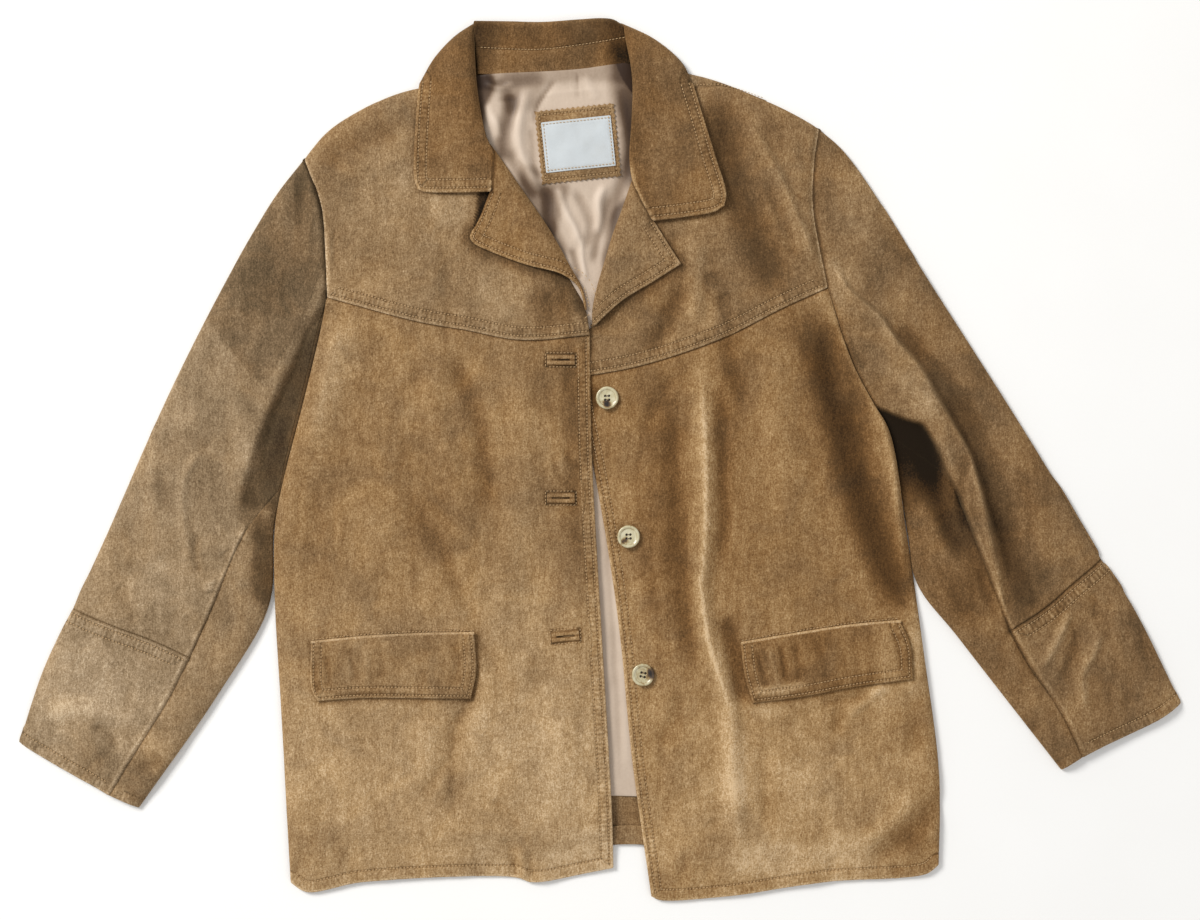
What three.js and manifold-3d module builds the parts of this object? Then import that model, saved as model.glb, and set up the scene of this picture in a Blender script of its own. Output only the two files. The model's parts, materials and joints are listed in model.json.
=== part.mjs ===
// A hip-length suede coat lying flat on its back, unbuttoned, sleeves out to the sides.
//
// Millimetres. The coat rests on z = 0 with its front up, the collar is towards +Y, and left means -X,
// where the buttonholes are. The origin is on the floor under the middle of the coat's bounding box.
//
// From the floor up: back and under sleeves, back hem and lining, neck patch and label, right front,
// left front, then lapels, collar, flaps, buttonholes and buttons. Each cloth piece is a wall worked out
// from its outline and from one height formula for the cloth on top, so that pieces meet at their seams
// and lie on each other.

import * as THREE from "three";
import { mergeVertices } from "three/addons/utils/BufferGeometryUtils.js";
import Module from "manifold-3d";

const wasm = await Module();
wasm.setup();

// ---------------------------------------------------------------- driving dimensions

const SUEDE = 1.2; // one thickness of suede
const FACED = 2.2; // suede with its facing: lapels, collar and flaps
const LINING = 1.0;
const GAP = 0.3; // between pieces, one above the other or edge to edge
const SEAM_GAP = 0.9; // at curved seams, whose facets differ on the two sides
const LAID = 0.6; // between a piece and the one it lies on

const HOLLOW = 3.8; // between the back and the cloth above it
const TOP = SUEDE + HOLLOW + SUEDE; // the upper cloth's height where it lies flat
const EDGE = SUEDE + GAP + SUEDE; // and where two walls meet at a folded edge
const EDGE_ROLL = 26; // how far in from such an edge the cloth has risen
const HEM_TOP = 3.4; // the fronts' height at the hem
const HEM_ROLL = 70;
const ARMPIT_DEPTH = 60; // how far below the armpit the valley beside the body has its full depth

const UNDER_TOP = 4.2; // the right front's height where the left one lies over it
const UNDERLAP = 14;
const UNDERLAP_RISE = 42;

const NECK_LIFT = 2.7; // the collar's fall lies under the back at the neck
const NECK_LIFT_FROM = 222;
const NECK_LIFT_TO = 314;
const NECK_LIFT_CENTRE = -44;
const NECK_LIFT_HALF = 128;
const NECK_LIFT_FADE = 62;

const BUTTON = { diameter: 20.5, height: 3.6, rim: 2.4, dish: 1.1, hole: 2, pitch: 2.6 };
const BUTTONHOLE = { length: 26, width: 11, slit: 19, gap: 0.9, height: 0.9 };
const WELT = { width: 2.6, height: 1 };
const LABEL_TILT = THREE.MathUtils.degToRad(6);

// ---------------------------------------------------------------- outlines: x, y

const ARMHOLE_LEFT = [[-266.4, 270.9], [-255.6, 243], [-249, 217.8], [-246.6, 182.7], [-244.8, 145.8]];
const ARMHOLE_RIGHT = [[197.1, 297.9], [192.6, 269], [191.7, 224], [197.1, 190.8], [204.3, 154.8]];
const SHOULDER_LEFT = [
  [-266.4, 270.9], [-245.7, 295.2], [-216.9, 314.1], [-184.5, 328.5], [-160, 335], [-119, 341],
];
const SHOULDER_RIGHT = [[38, 342], [84, 335], [110.7, 336], [146.7, 324], [177.3, 309.6], [197.1, 297.9]];
const SIDE_LEFT = [
  [-244.8, 145.8], [-263.7, 67.5], [-288.9, -34.2], [-293.4, -63], [-293.4, -121.5], [-288, -217],
  [-279, -381],
];
const SIDE_RIGHT = [
  [204.3, 154.8], [228.6, 87.3], [262.8, 24.3], [276.3, -65.7], [291.6, -172.8], [306, -288.9],
  [305.5, -365],
];
const FRONT_HEM_LEFT = [
  [-279, -381], [-264.6, -389.7], [-214.2, -380.7], [-76.5, -376.5], [-62, -380.8], [11.2, -368.1],
];
const FRONT_HEM_RIGHT = [
  [47, -394], [54, -397], [109.8, -394.2], [201.6, -380.7], [293.4, -373.5], [305.5, -365],
];
const FRONT_EDGE_LEFT = [[-10, 112], [-9, 35], [-7.2, -18.9], [0.9, -161.1], [9.9, -317.7], [11.2, -368.1]];
const FRONT_EDGE_RIGHT = [[-21, 74], [-15, 40], [-3.6, -14.4], [16.2, -136.8], [30.6, -277.2], [47, -394]];
const YOKE_SEAM_LEFT = [[-244.8, 145.8], [-163.8, 124.2], [-122.4, 117], [-70.2, 107.5], [-10, 112]];
const YOKE_SEAM_RIGHT = [[-21, 74], [36, 84.6], [108.9, 108.9], [164.7, 136.8], [204.3, 154.8]];
const YOKE_INNER_LEFT = [[-119, 341], [-111, 290], [-57, 205], [-26, 158], [-14, 135], [-10, 112]];
const YOKE_INNER_RIGHT = [[38, 342], [38, 250], [20, 203], [3, 150], [0, 128], [-17, 106], [-21, 74]];

const BACK_SHOULDERS = [
  [-266.4, 270.9], [-216.9, 314.1], [-160, 335], [-112, 343], [-61, 349], [-15, 352],
  [30, 353], [82, 341], [146.7, 324], [197.1, 297.9],
];
const BACK_HEM = [[-277, -376], [-150, -360], [15, -347.4], [160, -351], [303, -362]];
const LINING_LEFT = [[-112, 341], [-102, 291], [-76, 232], [-45, 140], [-42, 0], [-42, -303]];
const LINING_RIGHT = [[32, 350], [34, 291], [42, 232], [34, 140], [44, 0], [80, -303]];
const LINING_NECK = [[-112, 341], [-78, 346], [-44, 347.5], [0, 350], [32, 350]];
const LINING_HEM = [[-42, -303], [20, -303.5], [80, -306]];
const TURN_UP = 16; // the back's hem, turned up inside
const TURN_UP_FROM = -42;
const TURN_UP_TO = 80;

// A sleeve lies beside the body from the armpit down, and parts from it lower down.
const SLEEVE_OUTER_LEFT = [[-266.4, 270.9], [-297, 230.4], [-378, 81], [-450, -80.1], [-475.2, -135]];
const SLEEVE_OUTER_RIGHT = [[197.1, 297.9], [222.3, 274.5], [306, 145.8], [396, 3.6], [451.8, -90.5]];
const CUFF_OUTER_LEFT = [[-475.2, -135], [-500.4, -186.3], [-523.6, -254.7]];
const CUFF_OUTER_RIGHT = [[451.8, -90.5], [481.5, -135], [523.6, -219.6]];
const SLEEVE_INNER_LEFT = [
  [-244.8, 145.8], [-263.7, 67.5], [-288.9, -34.2], [-294.6, -66], [-298.5, -131.4], [-344.7, -212.4],
  [-415.8, -314.1],
];
const SLEEVE_INNER_RIGHT = [
  [204.3, 154.8], [228.6, 87.3], [262.8, 24.3], [277.4, -65.7], [286, -112], [324, -162], [415.8, -279.9],
];
const CUFF_END_LEFT = [[-523.6, -254.7], [-487.8, -276], [-457, -293.4], [-441, -302.8]];
const CUFF_END_RIGHT = [[523.6, -219.6], [503.1, -234], [452.7, -258.3], [434, -268]];
const SLEEVE_END_LEFT = [...CUFF_END_LEFT, [-415.8, -314.1]];
const SLEEVE_END_RIGHT = [...CUFF_END_RIGHT, [415.8, -279.9]];
const CUFF_SEAM_LEFT = [[-475.2, -135], [-443.7, -148.5], [-402.3, -163.8], [-369, -179.1]];
const CUFF_SEAM_RIGHT = [[451.8, -90.5], [424.8, -113.4], [399.6, -135], [369, -154.8]];
// Rows of a sleeve's grid: where the seam along it leaves the inner edge, the cuff seam, and the end.
const SEAM_ROW_LEFT = 6;
const SEAM_ROW_RIGHT = 5;
const CUFF_ROW = 12;
const END_ROW = 16;
const CUFF_SEAM_AT = 0.73; // how far down the inner edge the cuff seam's line meets it
const SLEEVE_SEAM_LEFT = [[-319.5, -67.5], [-351, -139.5], [-369, -179.1]];
const SLEEVE_SEAM_RIGHT = [[313.2, -18.9], [334.8, -69.3], [369, -154.8]];
const STRIP = 3.5; // what the under sleeve shows above that
const CUFF_FOLD_LEFT = [[-369, -179.1], [-388.8, -218.7], [-413.1, -257.4], [-441, -302.8]];
const CUFF_FOLD_RIGHT = [[369, -154.8], [389.7, -191.7], [411.3, -222.3], [434, -268]];

// ---------------------------------------------------------------- sections and places

// Lapels: a row for each section from the gorge seam down, from the roll at the neck to the outer edge.
const LAPEL_LEFT = [
  { roll: [-97, 284], edge: [-95, 277] },
  { roll: [-86, 266], edge: [-95.6, 253] },
  { roll: [-75, 250], edge: [-98, 239.6] },
  { roll: [-61, 230], edge: [-114.3, 198] },
  { roll: [-45, 206], edge: [-82.8, 180] },
  { roll: [-31, 181], edge: [-49, 171] },
  { roll: [-17.5, 158], edge: [-22, 157.5] },
  { roll: [-11, 139], edge: [-13, 138] },
];
const LAPEL_RIGHT = [
  { roll: [28.6, 250], edge: [31, 244] },
  { roll: [24, 237], edge: [37.6, 230] },
  { roll: [19, 223], edge: [46.5, 213] },
  { roll: [11.7, 203.4], edge: [72, 175.5] },
  { roll: [4, 178], edge: [46, 159] },
  { roll: [-3, 154], edge: [19.8, 143.1] },
  { roll: [-6.4, 138], edge: [6, 133] },
  { roll: [-8, 127], edge: [-3.6, 124] },
];

// Collar leaves, and the collar's back, whose stand shows inside and whose fall lies under the coat's back.
const LEAF_LEFT = {
  top: [[-162, 340.2], [-138, 368], [-113.2, 393]],
  inner: [[-113.2, 393], [-110.6, 337], [-102.5, 291], [-95.8, 272], [-98.6, 241]],
  outer: [[-162, 340.2], [-165.4, 290], [-165.6, 248.4], [-163, 241.6]],
  end: [[-163, 241.6], [-98.6, 241]],
};
const LEAF_RIGHT = {
  top: [[19, 393], [50, 378], [74.7, 356.4], [82.8, 339.3]],
  inner: [[19, 393], [28.6, 345], [29.4, 253], [47.6, 214.6]],
  outer: [[82.8, 339.3], [101.7, 275.4], [113, 236], [110.7, 225.6]],
  end: [[47.6, 214.6], [110.7, 225.6]],
};
const COLLAR_BACK = [
  { seam: [-109, 347.5], fold: [-111.5, 394.4] },
  { seam: [-82, 348], fold: [-82, 394] },
  { seam: [-52, 349], fold: [-52, 393.4] },
  { seam: [-20, 353], fold: [-20, 395.6] },
  { seam: [6, 355], fold: [4, 396.8] },
  { seam: [26.6, 356], fold: [18, 394.6] },
];
const COLLAR_CREST = 8.4;
const COLLAR_FALL = 78;

const FLAP_LEFT = {
  top: [[-259.2, -166.5], [-212.4, -162], [-162, -159.3], [-113.4, -158.4]],
  outer: [[-259.2, -166.5], [-258.3, -207], [-252.9, -216.9]],
  inner: [[-113.4, -158.4], [-111.6, -190], [-116.5, -215.1]],
  end: [[-252.9, -216.9], [-212.4, -214.2], [-116.5, -215.1]],
};
const FLAP_RIGHT = {
  top: [[126.9, -167.4], [180, -158.4], [228.6, -151.2], [270, -147.6]],
  outer: [[126.9, -167.4], [130.5, -195], [137.7, -218.7]],
  inner: [[270, -147.6], [278.1, -166.5], [280.5, -197.1]],
  end: [[137.7, -218.7], [180, -213.3], [228.6, -204.3], [280.5, -197.1]],
};
const BUTTONHOLES = [
  { at: [-35.1, 89.1], turn: 0 },
  { at: [-35.1, -35.1], turn: 0 },
  { at: [-31, -159.3], turn: 5 },
];
const BUTTONS = [
  { at: [6.5, 54.9], turn: 20 },
  { at: [25.7, -69.7], turn: 50 },
  { at: [38.7, -194], turn: -15 },
];
const PATCH = { centre: [-20.7, 282.6], width: 72, height: 66 };
const LABEL = { centre: [-19.4, 283], width: 62, height: 44.5 };

// The largest folds of the upper cloth: how high, how wide on each side of the crest, and the crest's course.
const FOLDS = [
  { height: 6, left: 24, right: 13, crest: [[94.5, 92], [94.5, 26], [92.7, -120], [100, -176], [121, -257]] },
  { height: 4, left: 18, right: 14, crest: [[131, 300], [150, 262], [172, 215]] },
  { height: 3.5, left: 20, right: 20, crest: [[150, -240], [215, -262], [250, -300]] },
  { height: 3.5, left: 26, right: 22, crest: [[-95, 92], [-78, 20], [-84, -110], [-66, -150]] },
  { height: 3, left: 24, right: 26, crest: [[-200, 90], [-178, 0], [-186, -130]] },
  {
    height: 9, left: 34, right: 12,
    crest: [[212, 180], [279, 95.4], [316, 35], [346.5, -37.8], [371, -116]],
  },
  { height: 5, left: 40, right: 40, crest: [[-300, 200], [-352, 60], [-400, -60], [-440, -190]] },
];

const LEAF_RISE = 3; // the leaves stand up towards the neck
const LEAF_RISE_WIDTH = 45;
const LEAF_ROLL = 6;
const LEAF_FOLD_DROP = 1; // below its inner edge, where a leaf runs into the collar's fold
const LEAF_NECK = { from: 285, to: 320 }; // above the gorge the leaves' inner edge is a roll
const LAPEL_ROLL = 3;
const LAPEL_FOOT = 5.4;
const LAPEL_STEPS = [1, 0.8, 0.55, 0.3, 0.1]; // from a lapel's outer edge to its roll

// ---------------------------------------------------------------- colours

const COLOUR = {
  front: 0x95754d, sleeve: 0x80683f, collar: 0x82663f, lining: 0xc8af9f, label: 0xe1e4e8, horn: 0xc9bda0,
};

// ---------------------------------------------------------------- curves and heights

/** A smooth curve through a few x, y points. */
const curve = (points) =>
  new THREE.CatmullRomCurve3(points.map(([x, y]) => new THREE.Vector3(x, y, 0)), false, "centripetal");

/** A line through points, one for each row of a grid, so that pieces can share them. */
const through = (rowPoints) => ({
  getPointAt: (along) => rowPoints[Math.round(along * (rowPoints.length - 1))].clone(),
});

/** The same points moved by a seam's gap. */
const moved = (points, dx, dy) => points.map(([x, y]) => [x + dx, y + dy]);

const reversed = (points) => [...points].reverse();

/** The nearest place on a curve: its distance, how far along (0 to 1), and if the point is left of it. */
function nearest(samples, x, y) {
  let best = { distance: Infinity };
  for (let i = 1; i < samples.length; i++) {
    const from = samples[i - 1];
    const to = samples[i];
    const length2 = (to.x - from.x) ** 2 + (to.y - from.y) ** 2;
    const along = ((x - from.x) * (to.x - from.x) + (y - from.y) * (to.y - from.y)) / length2;
    const part = THREE.MathUtils.clamp(along, 0, 1);
    const dx = x - from.x - part * (to.x - from.x);
    const dy = y - from.y - part * (to.y - from.y);
    const distance = Math.hypot(dx, dy);
    if (distance < best.distance) {
      const leftward = (to.x - from.x) * dy - (to.y - from.y) * dx > 0;
      best = { distance, along: (i - 1 + part) / (samples.length - 1), leftward };
    }
  }
  return best;
}

const SAMPLES = 48;
const sampled = (points) => curve(points).getSpacedPoints(SAMPLES);
const ease = THREE.MathUtils.smoothstep;
const mix = THREE.MathUtils.lerp;

const folds = FOLDS.map((fold) => ({ ...fold, samples: sampled(fold.crest) }));

/** The height that the largest folds add. A crest runs towards -Y, so its left side is the +X one. */
function foldHeight(x, y) {
  let height = 0;
  for (const fold of folds) {
    const { distance, along, leftward } = nearest(fold.samples, x, y);
    const width = leftward ? fold.right : fold.left;
    if (distance < width) {
      const fade = ease(along, 0, 0.2) * (1 - ease(along, 0.8, 1));
      height += fold.height * fade * Math.cos((Math.PI / 2) * (distance / width)) ** 2;
    }
  }
  return height;
}

/** 0 at a folded edge, 1 where the cloth has risen to its full height. */
const risen = (distance, roll) => Math.sin((Math.PI / 2) * Math.min(1, distance / roll));

/** How far the coat's back is lifted by the collar's fall under it. */
function neckLift(x, y) {
  const across = 1 - ease(Math.abs(x - NECK_LIFT_CENTRE), NECK_LIFT_HALF - NECK_LIFT_FADE, NECK_LIFT_HALF);
  return NECK_LIFT * across * ease(y, NECK_LIFT_FROM, NECK_LIFT_TO);
}

const backTop = (x, y) => SUEDE + neckLift(x, y);
const liningTop = (x, y) => backTop(x, y) + GAP + LINING;

/** The height of the cloth on top of one half of the body. */
function bodyTop({ side, shoulder, hem, frontEdge, armpit, underlap }) {
  const sideEdge = sampled(side);
  const shoulderEdge = sampled(shoulder);
  const hemEdge = sampled(hem);
  const openEdge = sampled(frontEdge);
  return (x, y) => {
    const valley = ease(armpit - y, 0, ARMPIT_DEPTH);
    const fromSide = mix(1, risen(nearest(sideEdge, x, y).distance, EDGE_ROLL), valley);
    const fromShoulder = risen(nearest(shoulderEdge, x, y).distance, EDGE_ROLL);
    const flat = mix(EDGE + neckLift(x, y), TOP, Math.min(fromSide, fromShoulder));
    const fromHem = risen(nearest(hemEdge, x, y).distance, HEM_ROLL);
    const overHem = Math.min(flat, mix(HEM_TOP, TOP, fromHem));
    const inward = nearest(openEdge, x, y).distance;
    const lowered = underlap ? 1 - ease(inward, UNDERLAP, UNDERLAP_RISE) : 0;
    return mix(overHem, Math.min(overHem, UNDER_TOP), lowered) + foldHeight(x, y);
  };
}

/** The height of the cloth on top of a sleeve. */
function sleeveTop({ outer, inner, armpit }) {
  const outerEdge = sampled(outer);
  const innerEdge = sampled(inner);
  return (x, y) => {
    const valley = ease(armpit - y, 0, ARMPIT_DEPTH);
    const fromInner = mix(1, risen(nearest(innerEdge, x, y).distance, EDGE_ROLL), valley);
    const fromOuter = risen(nearest(outerEdge, x, y).distance, EDGE_ROLL);
    return mix(EDGE, TOP, Math.min(fromInner, fromOuter)) + foldHeight(x, y);
  };
}

// ---------------------------------------------------------------- grids and walls

/** A grid of points inside four edges, each given from left to right or from top to bottom, at a height. */
function patch({ top, bottom, left, right }, columns, rows, height) {
  const corners = [top.getPointAt(0), top.getPointAt(1), bottom.getPointAt(0), bottom.getPointAt(1)];
  const grid = [];
  for (let row = 0; row <= rows; row++) {
    const v = row / rows;
    const line = [];
    for (let column = 0; column <= columns; column++) {
      const u = column / columns;
      const along = top.getPointAt(u).multiplyScalar(1 - v).addScaledVector(bottom.getPointAt(u), v);
      const across = left.getPointAt(v).multiplyScalar(1 - u).addScaledVector(right.getPointAt(v), u);
      const weights = [(1 - u) * (1 - v), u * (1 - v), (1 - u) * v, u * v];
      const point = along.add(across);
      corners.forEach((corner, i) => point.addScaledVector(corner, -weights[i]));
      point.z = height(point.x, point.y, u, v);
      line.push(point);
    }
    grid.push(line);
  }
  return grid;
}

/** The grid's unit normals. They point up where columns run to +X and rows to -Y. */
function gridNormals(grid) {
  const last = grid.length - 1;
  const end = grid[0].length - 1;
  return grid.map((line, row) =>
    line.map((_, column) => {
      const along = line[Math.min(column + 1, end)].clone().sub(line[Math.max(column - 1, 0)]);
      const down = grid[Math.min(row + 1, last)][column].clone().sub(grid[Math.max(row - 1, 0)][column]);
      return down.cross(along).normalize();
    }),
  );
}

/** A closed wall between a grid and the same grid moved against its normals by the thickness. */
function wall(grid, thickness) {
  const rows = grid.length;
  const columns = grid[0].length;
  const normals = gridNormals(grid);
  const behind = grid.map((line, row) =>
    line.map((point, column) => point.clone().addScaledVector(normals[row][column], -thickness)),
  );
  const points = [...grid.flat(), ...behind.flat()];
  const face = (row, column) => row * columns + column;
  const back = (row, column) => rows * columns + row * columns + column;
  const triangles = [];
  const quad = (a, b, c, d) => triangles.push(a, b, c, a, c, d);
  for (let row = 0; row < rows - 1; row++) {
    for (let column = 0; column < columns - 1; column++) {
      quad(face(row, column), face(row + 1, column), face(row + 1, column + 1), face(row, column + 1));
      quad(back(row, column), back(row, column + 1), back(row + 1, column + 1), back(row + 1, column));
    }
    quad(face(row, 0), back(row, 0), back(row + 1, 0), face(row + 1, 0));
    const last = columns - 1;
    quad(face(row, last), face(row + 1, last), back(row + 1, last), back(row, last));
  }
  for (let column = 0; column < columns - 1; column++) {
    quad(face(0, column), face(0, column + 1), back(0, column + 1), back(0, column));
    const last = rows - 1;
    quad(face(last, column), back(last, column), back(last, column + 1), face(last, column + 1));
  }
  return outwards(solid(points, triangles));
}

/** An indexed geometry from points and triangles. */
function solid(points, triangles) {
  const geometry = new THREE.BufferGeometry().setFromPoints(points);
  geometry.setIndex(triangles);
  return geometry;
}

/** The geometry with its faces turned to point out, judged by the sign of its volume. */
function outwards(geometry) {
  const position = geometry.getAttribute("position");
  const index = geometry.getIndex().array;
  const [a, b, c] = [new THREE.Vector3(), new THREE.Vector3(), new THREE.Vector3()];
  let volume = 0;
  for (let i = 0; i < index.length; i += 3) {
    a.fromBufferAttribute(position, index[i]);
    b.fromBufferAttribute(position, index[i + 1]);
    c.fromBufferAttribute(position, index[i + 2]);
    volume += a.dot(b.cross(c));
  }
  if (volume < 0) {
    for (let i = 0; i < index.length; i += 3) [index[i + 1], index[i + 2]] = [index[i + 2], index[i + 1]];
  }
  return geometry;
}

// ---------------------------------------------------------------- cloth pieces

const topOf = {
  left: bodyTop({
    side: SIDE_LEFT, shoulder: SHOULDER_LEFT, hem: FRONT_HEM_LEFT, frontEdge: FRONT_EDGE_LEFT,
    armpit: SIDE_LEFT[0][1], underlap: false,
  }),
  right: bodyTop({
    side: SIDE_RIGHT, shoulder: SHOULDER_RIGHT, hem: FRONT_HEM_RIGHT,
    frontEdge: [...YOKE_INNER_RIGHT.slice(-3, -1), ...FRONT_EDGE_RIGHT],
    armpit: SIDE_RIGHT[0][1], underlap: true,
  }),
  sleeveLeft: sleeveTop({
    outer: [...SLEEVE_OUTER_LEFT, ...CUFF_OUTER_LEFT.slice(1)],
    inner: SLEEVE_INNER_LEFT,
    armpit: SIDE_LEFT[0][1],
  }),
  sleeveRight: sleeveTop({
    outer: [...SLEEVE_OUTER_RIGHT, ...CUFF_OUTER_RIGHT.slice(1)],
    inner: SLEEVE_INNER_RIGHT,
    armpit: SIDE_RIGHT[0][1],
  }),
};

/** A smooth-edged panel at a height. Its side edges end where its top and bottom edges do. */
function panel({ top, bottom, left, right }, columns, rows, height, thickness = SUEDE) {
  const between = (side, end) => curve([top.at(end), ...side.slice(1, -1), bottom.at(end)]);
  const edges = { top: curve(top), bottom: curve(bottom), left: between(left, 0), right: between(right, -1) };
  return wall(patch(edges, columns, rows, height), thickness);
}

/** The whole back below the neck, with its shoulders, armholes and sides. */
function back() {
  const edges = {
    top: BACK_SHOULDERS,
    bottom: BACK_HEM,
    left: [...ARMHOLE_LEFT, ...SIDE_LEFT.slice(1, -1), BACK_HEM[0]],
    right: [...ARMHOLE_RIGHT, ...SIDE_RIGHT.slice(1, -1), BACK_HEM.at(-1)],
  };
  return panel(edges, 12, 20, backTop);
}

/** The back's hem where it is turned up inside. */
function backHem() {
  const within = (x) => THREE.MathUtils.clamp(x, TURN_UP_FROM, TURN_UP_TO);
  const foot = BACK_HEM.slice(1, 4).map(([x, y]) => [within(x), y + GAP]);
  const head = moved(foot, 0, TURN_UP);
  const edges = { top: head, bottom: foot, left: [head[0], foot[0]], right: [head[2], foot[2]] };
  return panel(edges, 6, 1, () => SUEDE + GAP + SUEDE);
}

function lining() {
  const edges = { top: LINING_NECK, bottom: LINING_HEM, left: LINING_LEFT, right: LINING_RIGHT };
  return panel(edges, 6, 18, (x, y) => backTop(x, y) + LAID + LINING, LINING);
}

/** A small rectangular piece lying on the lining, turned with the label. */
function neckPiece({ centre, width, height }, under, thickness) {
  const corner = (dx, dy) => {
    const offset = new THREE.Vector3((dx * width) / 2, (dy * height) / 2, 0);
    offset.applyAxisAngle(new THREE.Vector3(0, 0, 1), LABEL_TILT);
    return [centre[0] + offset.x, centre[1] + offset.y];
  };
  const top = [corner(-1, 1), corner(1, 1)];
  const bottom = [corner(-1, -1), corner(1, -1)];
  const edges = { top, bottom, left: [top[0], bottom[0]], right: [top[1], bottom[1]] };
  return panel(edges, 4, 4, (x, y) => liningTop(x, y) + under + LAID + thickness, thickness);
}

function front(top, bottom, left, right, height) {
  return panel({ top: moved(top, 0, -GAP / 2), bottom, left, right }, 12, 14, height);
}

function yoke(top, bottom, left, right, height) {
  return panel({ top, bottom: moved(bottom, 0, GAP / 2), left, right }, 12, 7, height);
}

/** A lapel: it lies on the yoke and rolls down into the neck opening. */
function lapel(sections, height, openingOnRight) {
  const grid = sections.map(({ roll, edge }) => {
    const rollPoint = new THREE.Vector3(...roll, 0);
    const outward = new THREE.Vector3(...edge, 0).sub(rollPoint);
    const width = outward.length();
    outward.normalize();
    const place = (distance, z) => rollPoint.clone().addScaledVector(outward, distance).setZ(z);
    const lying = (distance) => {
      const point = place(distance, 0);
      return point.setZ(height(point.x, point.y) + LAID + FACED);
    };
    const radius = Math.min(LAPEL_ROLL, lying(LAPEL_ROLL).z - LAPEL_FOOT - GAP);
    const crest = lying(radius);
    const top = LAPEL_STEPS.map((step) => lying(mix(radius, width, step)));
    const half = radius * Math.SQRT1_2;
    const wrap = [crest, place(radius - half, crest.z - radius + half), place(0, crest.z - radius)];
    const line = [...top, ...wrap, place(0, LAPEL_FOOT)];
    return openingOnRight ? line : line.reverse();
  });
  return wall(grid, FACED);
}

/** A collar leaf lying over the yoke and lapel, rising to the neck. */
function leaf({ top, inner, outer, end }, innerOnRight) {
  const innerEdge = sampled(inner);
  const foldEdge = sampled(top);
  const flat = TOP + LAID + FACED;
  const rolled = NECK_LIFT + SUEDE + LAID + LINING + LAID + FACED;
  const height = (x, y) => {
    const fromInner = nearest(innerEdge, x, y).distance;
    const neck = ease(y, LEAF_NECK.from, LEAF_NECK.to);
    const crest = flat + LEAF_RISE * neck * (1 - ease(fromInner, 0, LEAF_RISE_WIDTH));
    const inside = mix(crest, mix(rolled, crest, risen(fromInner, LEAF_ROLL)), neck);
    return mix(rolled - LEAF_FOLD_DROP, inside, risen(nearest(foldEdge, x, y).distance, 2 * LEAF_ROLL));
  };
  const [left, right] = innerOnRight ? [outer, inner] : [inner, outer];
  return panel({ top, bottom: end, left, right }, 8, 10, height, FACED);
}

/** The collar's back: its stand inside the neck, the fold at the top, and the fall beneath the back. */
function collarBack() {
  const radius = COLLAR_CREST / 2;
  const seamTop = backTop(NECK_LIFT_CENTRE, COLLAR_BACK[0].seam[1]) + LAID + FACED;
  const seams = curve(COLLAR_BACK.map(({ seam }) => seam));
  const foldLine = curve(COLLAR_BACK.map(({ fold }) => fold));
  const columns = 8;
  const sections = [];
  for (let column = 0; column <= columns; column++) {
    const seam = seams.getPoint(column / columns).setZ(seamTop);
    const fold = foldLine.getPoint(column / columns);
    const at = (y, z) => new THREE.Vector3(fold.x, y, z);
    const centre = fold.y - radius;
    const line = [at(fold.y - COLLAR_FALL, 0), at(fold.y - COLLAR_FALL / 2, 0)];
    for (const angle of [-90, -45, 0, 45, 90].map(THREE.MathUtils.degToRad)) {
      line.push(at(centre + radius * Math.cos(angle), radius + radius * Math.sin(angle)));
    }
    const crest = line.at(-1);
    for (const step of [0.35, 0.7, 1]) line.push(crest.clone().lerp(seam, step));
    sections.push(line);
  }
  const grid = sections[0].map((_, row) => sections.map((line) => line[row]));
  return wall(grid, FACED);
}

/** The edges that a sleeve's pieces share, with a point for each row on its inner edge and its long seam. */
function sleeveEdges({ armhole, outer, cuffOuter, inner, seam, seamRow, fold, outerOnLeft }) {
  const outward = outerOnLeft ? -SEAM_GAP : SEAM_GAP;
  const innerCurve = curve(moved(inner, outward, 0));
  const rowAlong = (row) => {
    if (row <= CUFF_ROW) return (CUFF_SEAM_AT * row) / CUFF_ROW;
    return mix(CUFF_SEAM_AT, 1, (row - CUFF_ROW) / (END_ROW - CUFF_ROW));
  };
  const beside = (row) => {
    const tangent = innerCurve.getTangentAt(rowAlong(row));
    const inward = new THREE.Vector3(tangent.y, -tangent.x, 0).multiplyScalar(outerOnLeft ? 1 : -1);
    return innerCurve.getPointAt(rowAlong(row)).addScaledVector(inward, STRIP);
  };
  const leaves = beside(seamRow);
  const seamCurve = curve([[leaves.x, leaves.y], ...seam]);
  const foldCurve = curve(fold);
  const innerRows = [];
  const seamRows = [];
  for (let row = 0; row <= END_ROW; row++) {
    innerRows.push(innerCurve.getPointAt(rowAlong(row)));
    if (row <= seamRow) seamRows.push(beside(row));
    else if (row <= CUFF_ROW) seamRows.push(seamCurve.getPointAt((row - seamRow) / (CUFF_ROW - seamRow)));
    else seamRows.push(foldCurve.getPointAt((row - CUFF_ROW) / (END_ROW - CUFF_ROW)));
  }
  const clear = seamRows.map((point) => point.clone().setX(point.x + outward));
  const cuffRows = clear.slice(CUFF_ROW);
  cuffRows[0] = cuffRows[0].clone().setY(cuffRows[0].y - GAP);
  const [shoulder] = moved(outer.slice(0, 1), outward, 0);
  return {
    armhole: curve(moved(outerOnLeft ? armhole : reversed(armhole), outward, 0)),
    outer: curve([shoulder, ...outer.slice(1)]),
    wholeOuter: curve([shoulder, ...outer.slice(1), ...cuffOuter.slice(1)]),
    inner: through(innerRows),
    innerRows,
    seamRows,
    topSeam: through(clear.slice(0, CUFF_ROW + 1)),
    cuffFold: through(cuffRows),
    outward,
  };
}

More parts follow.
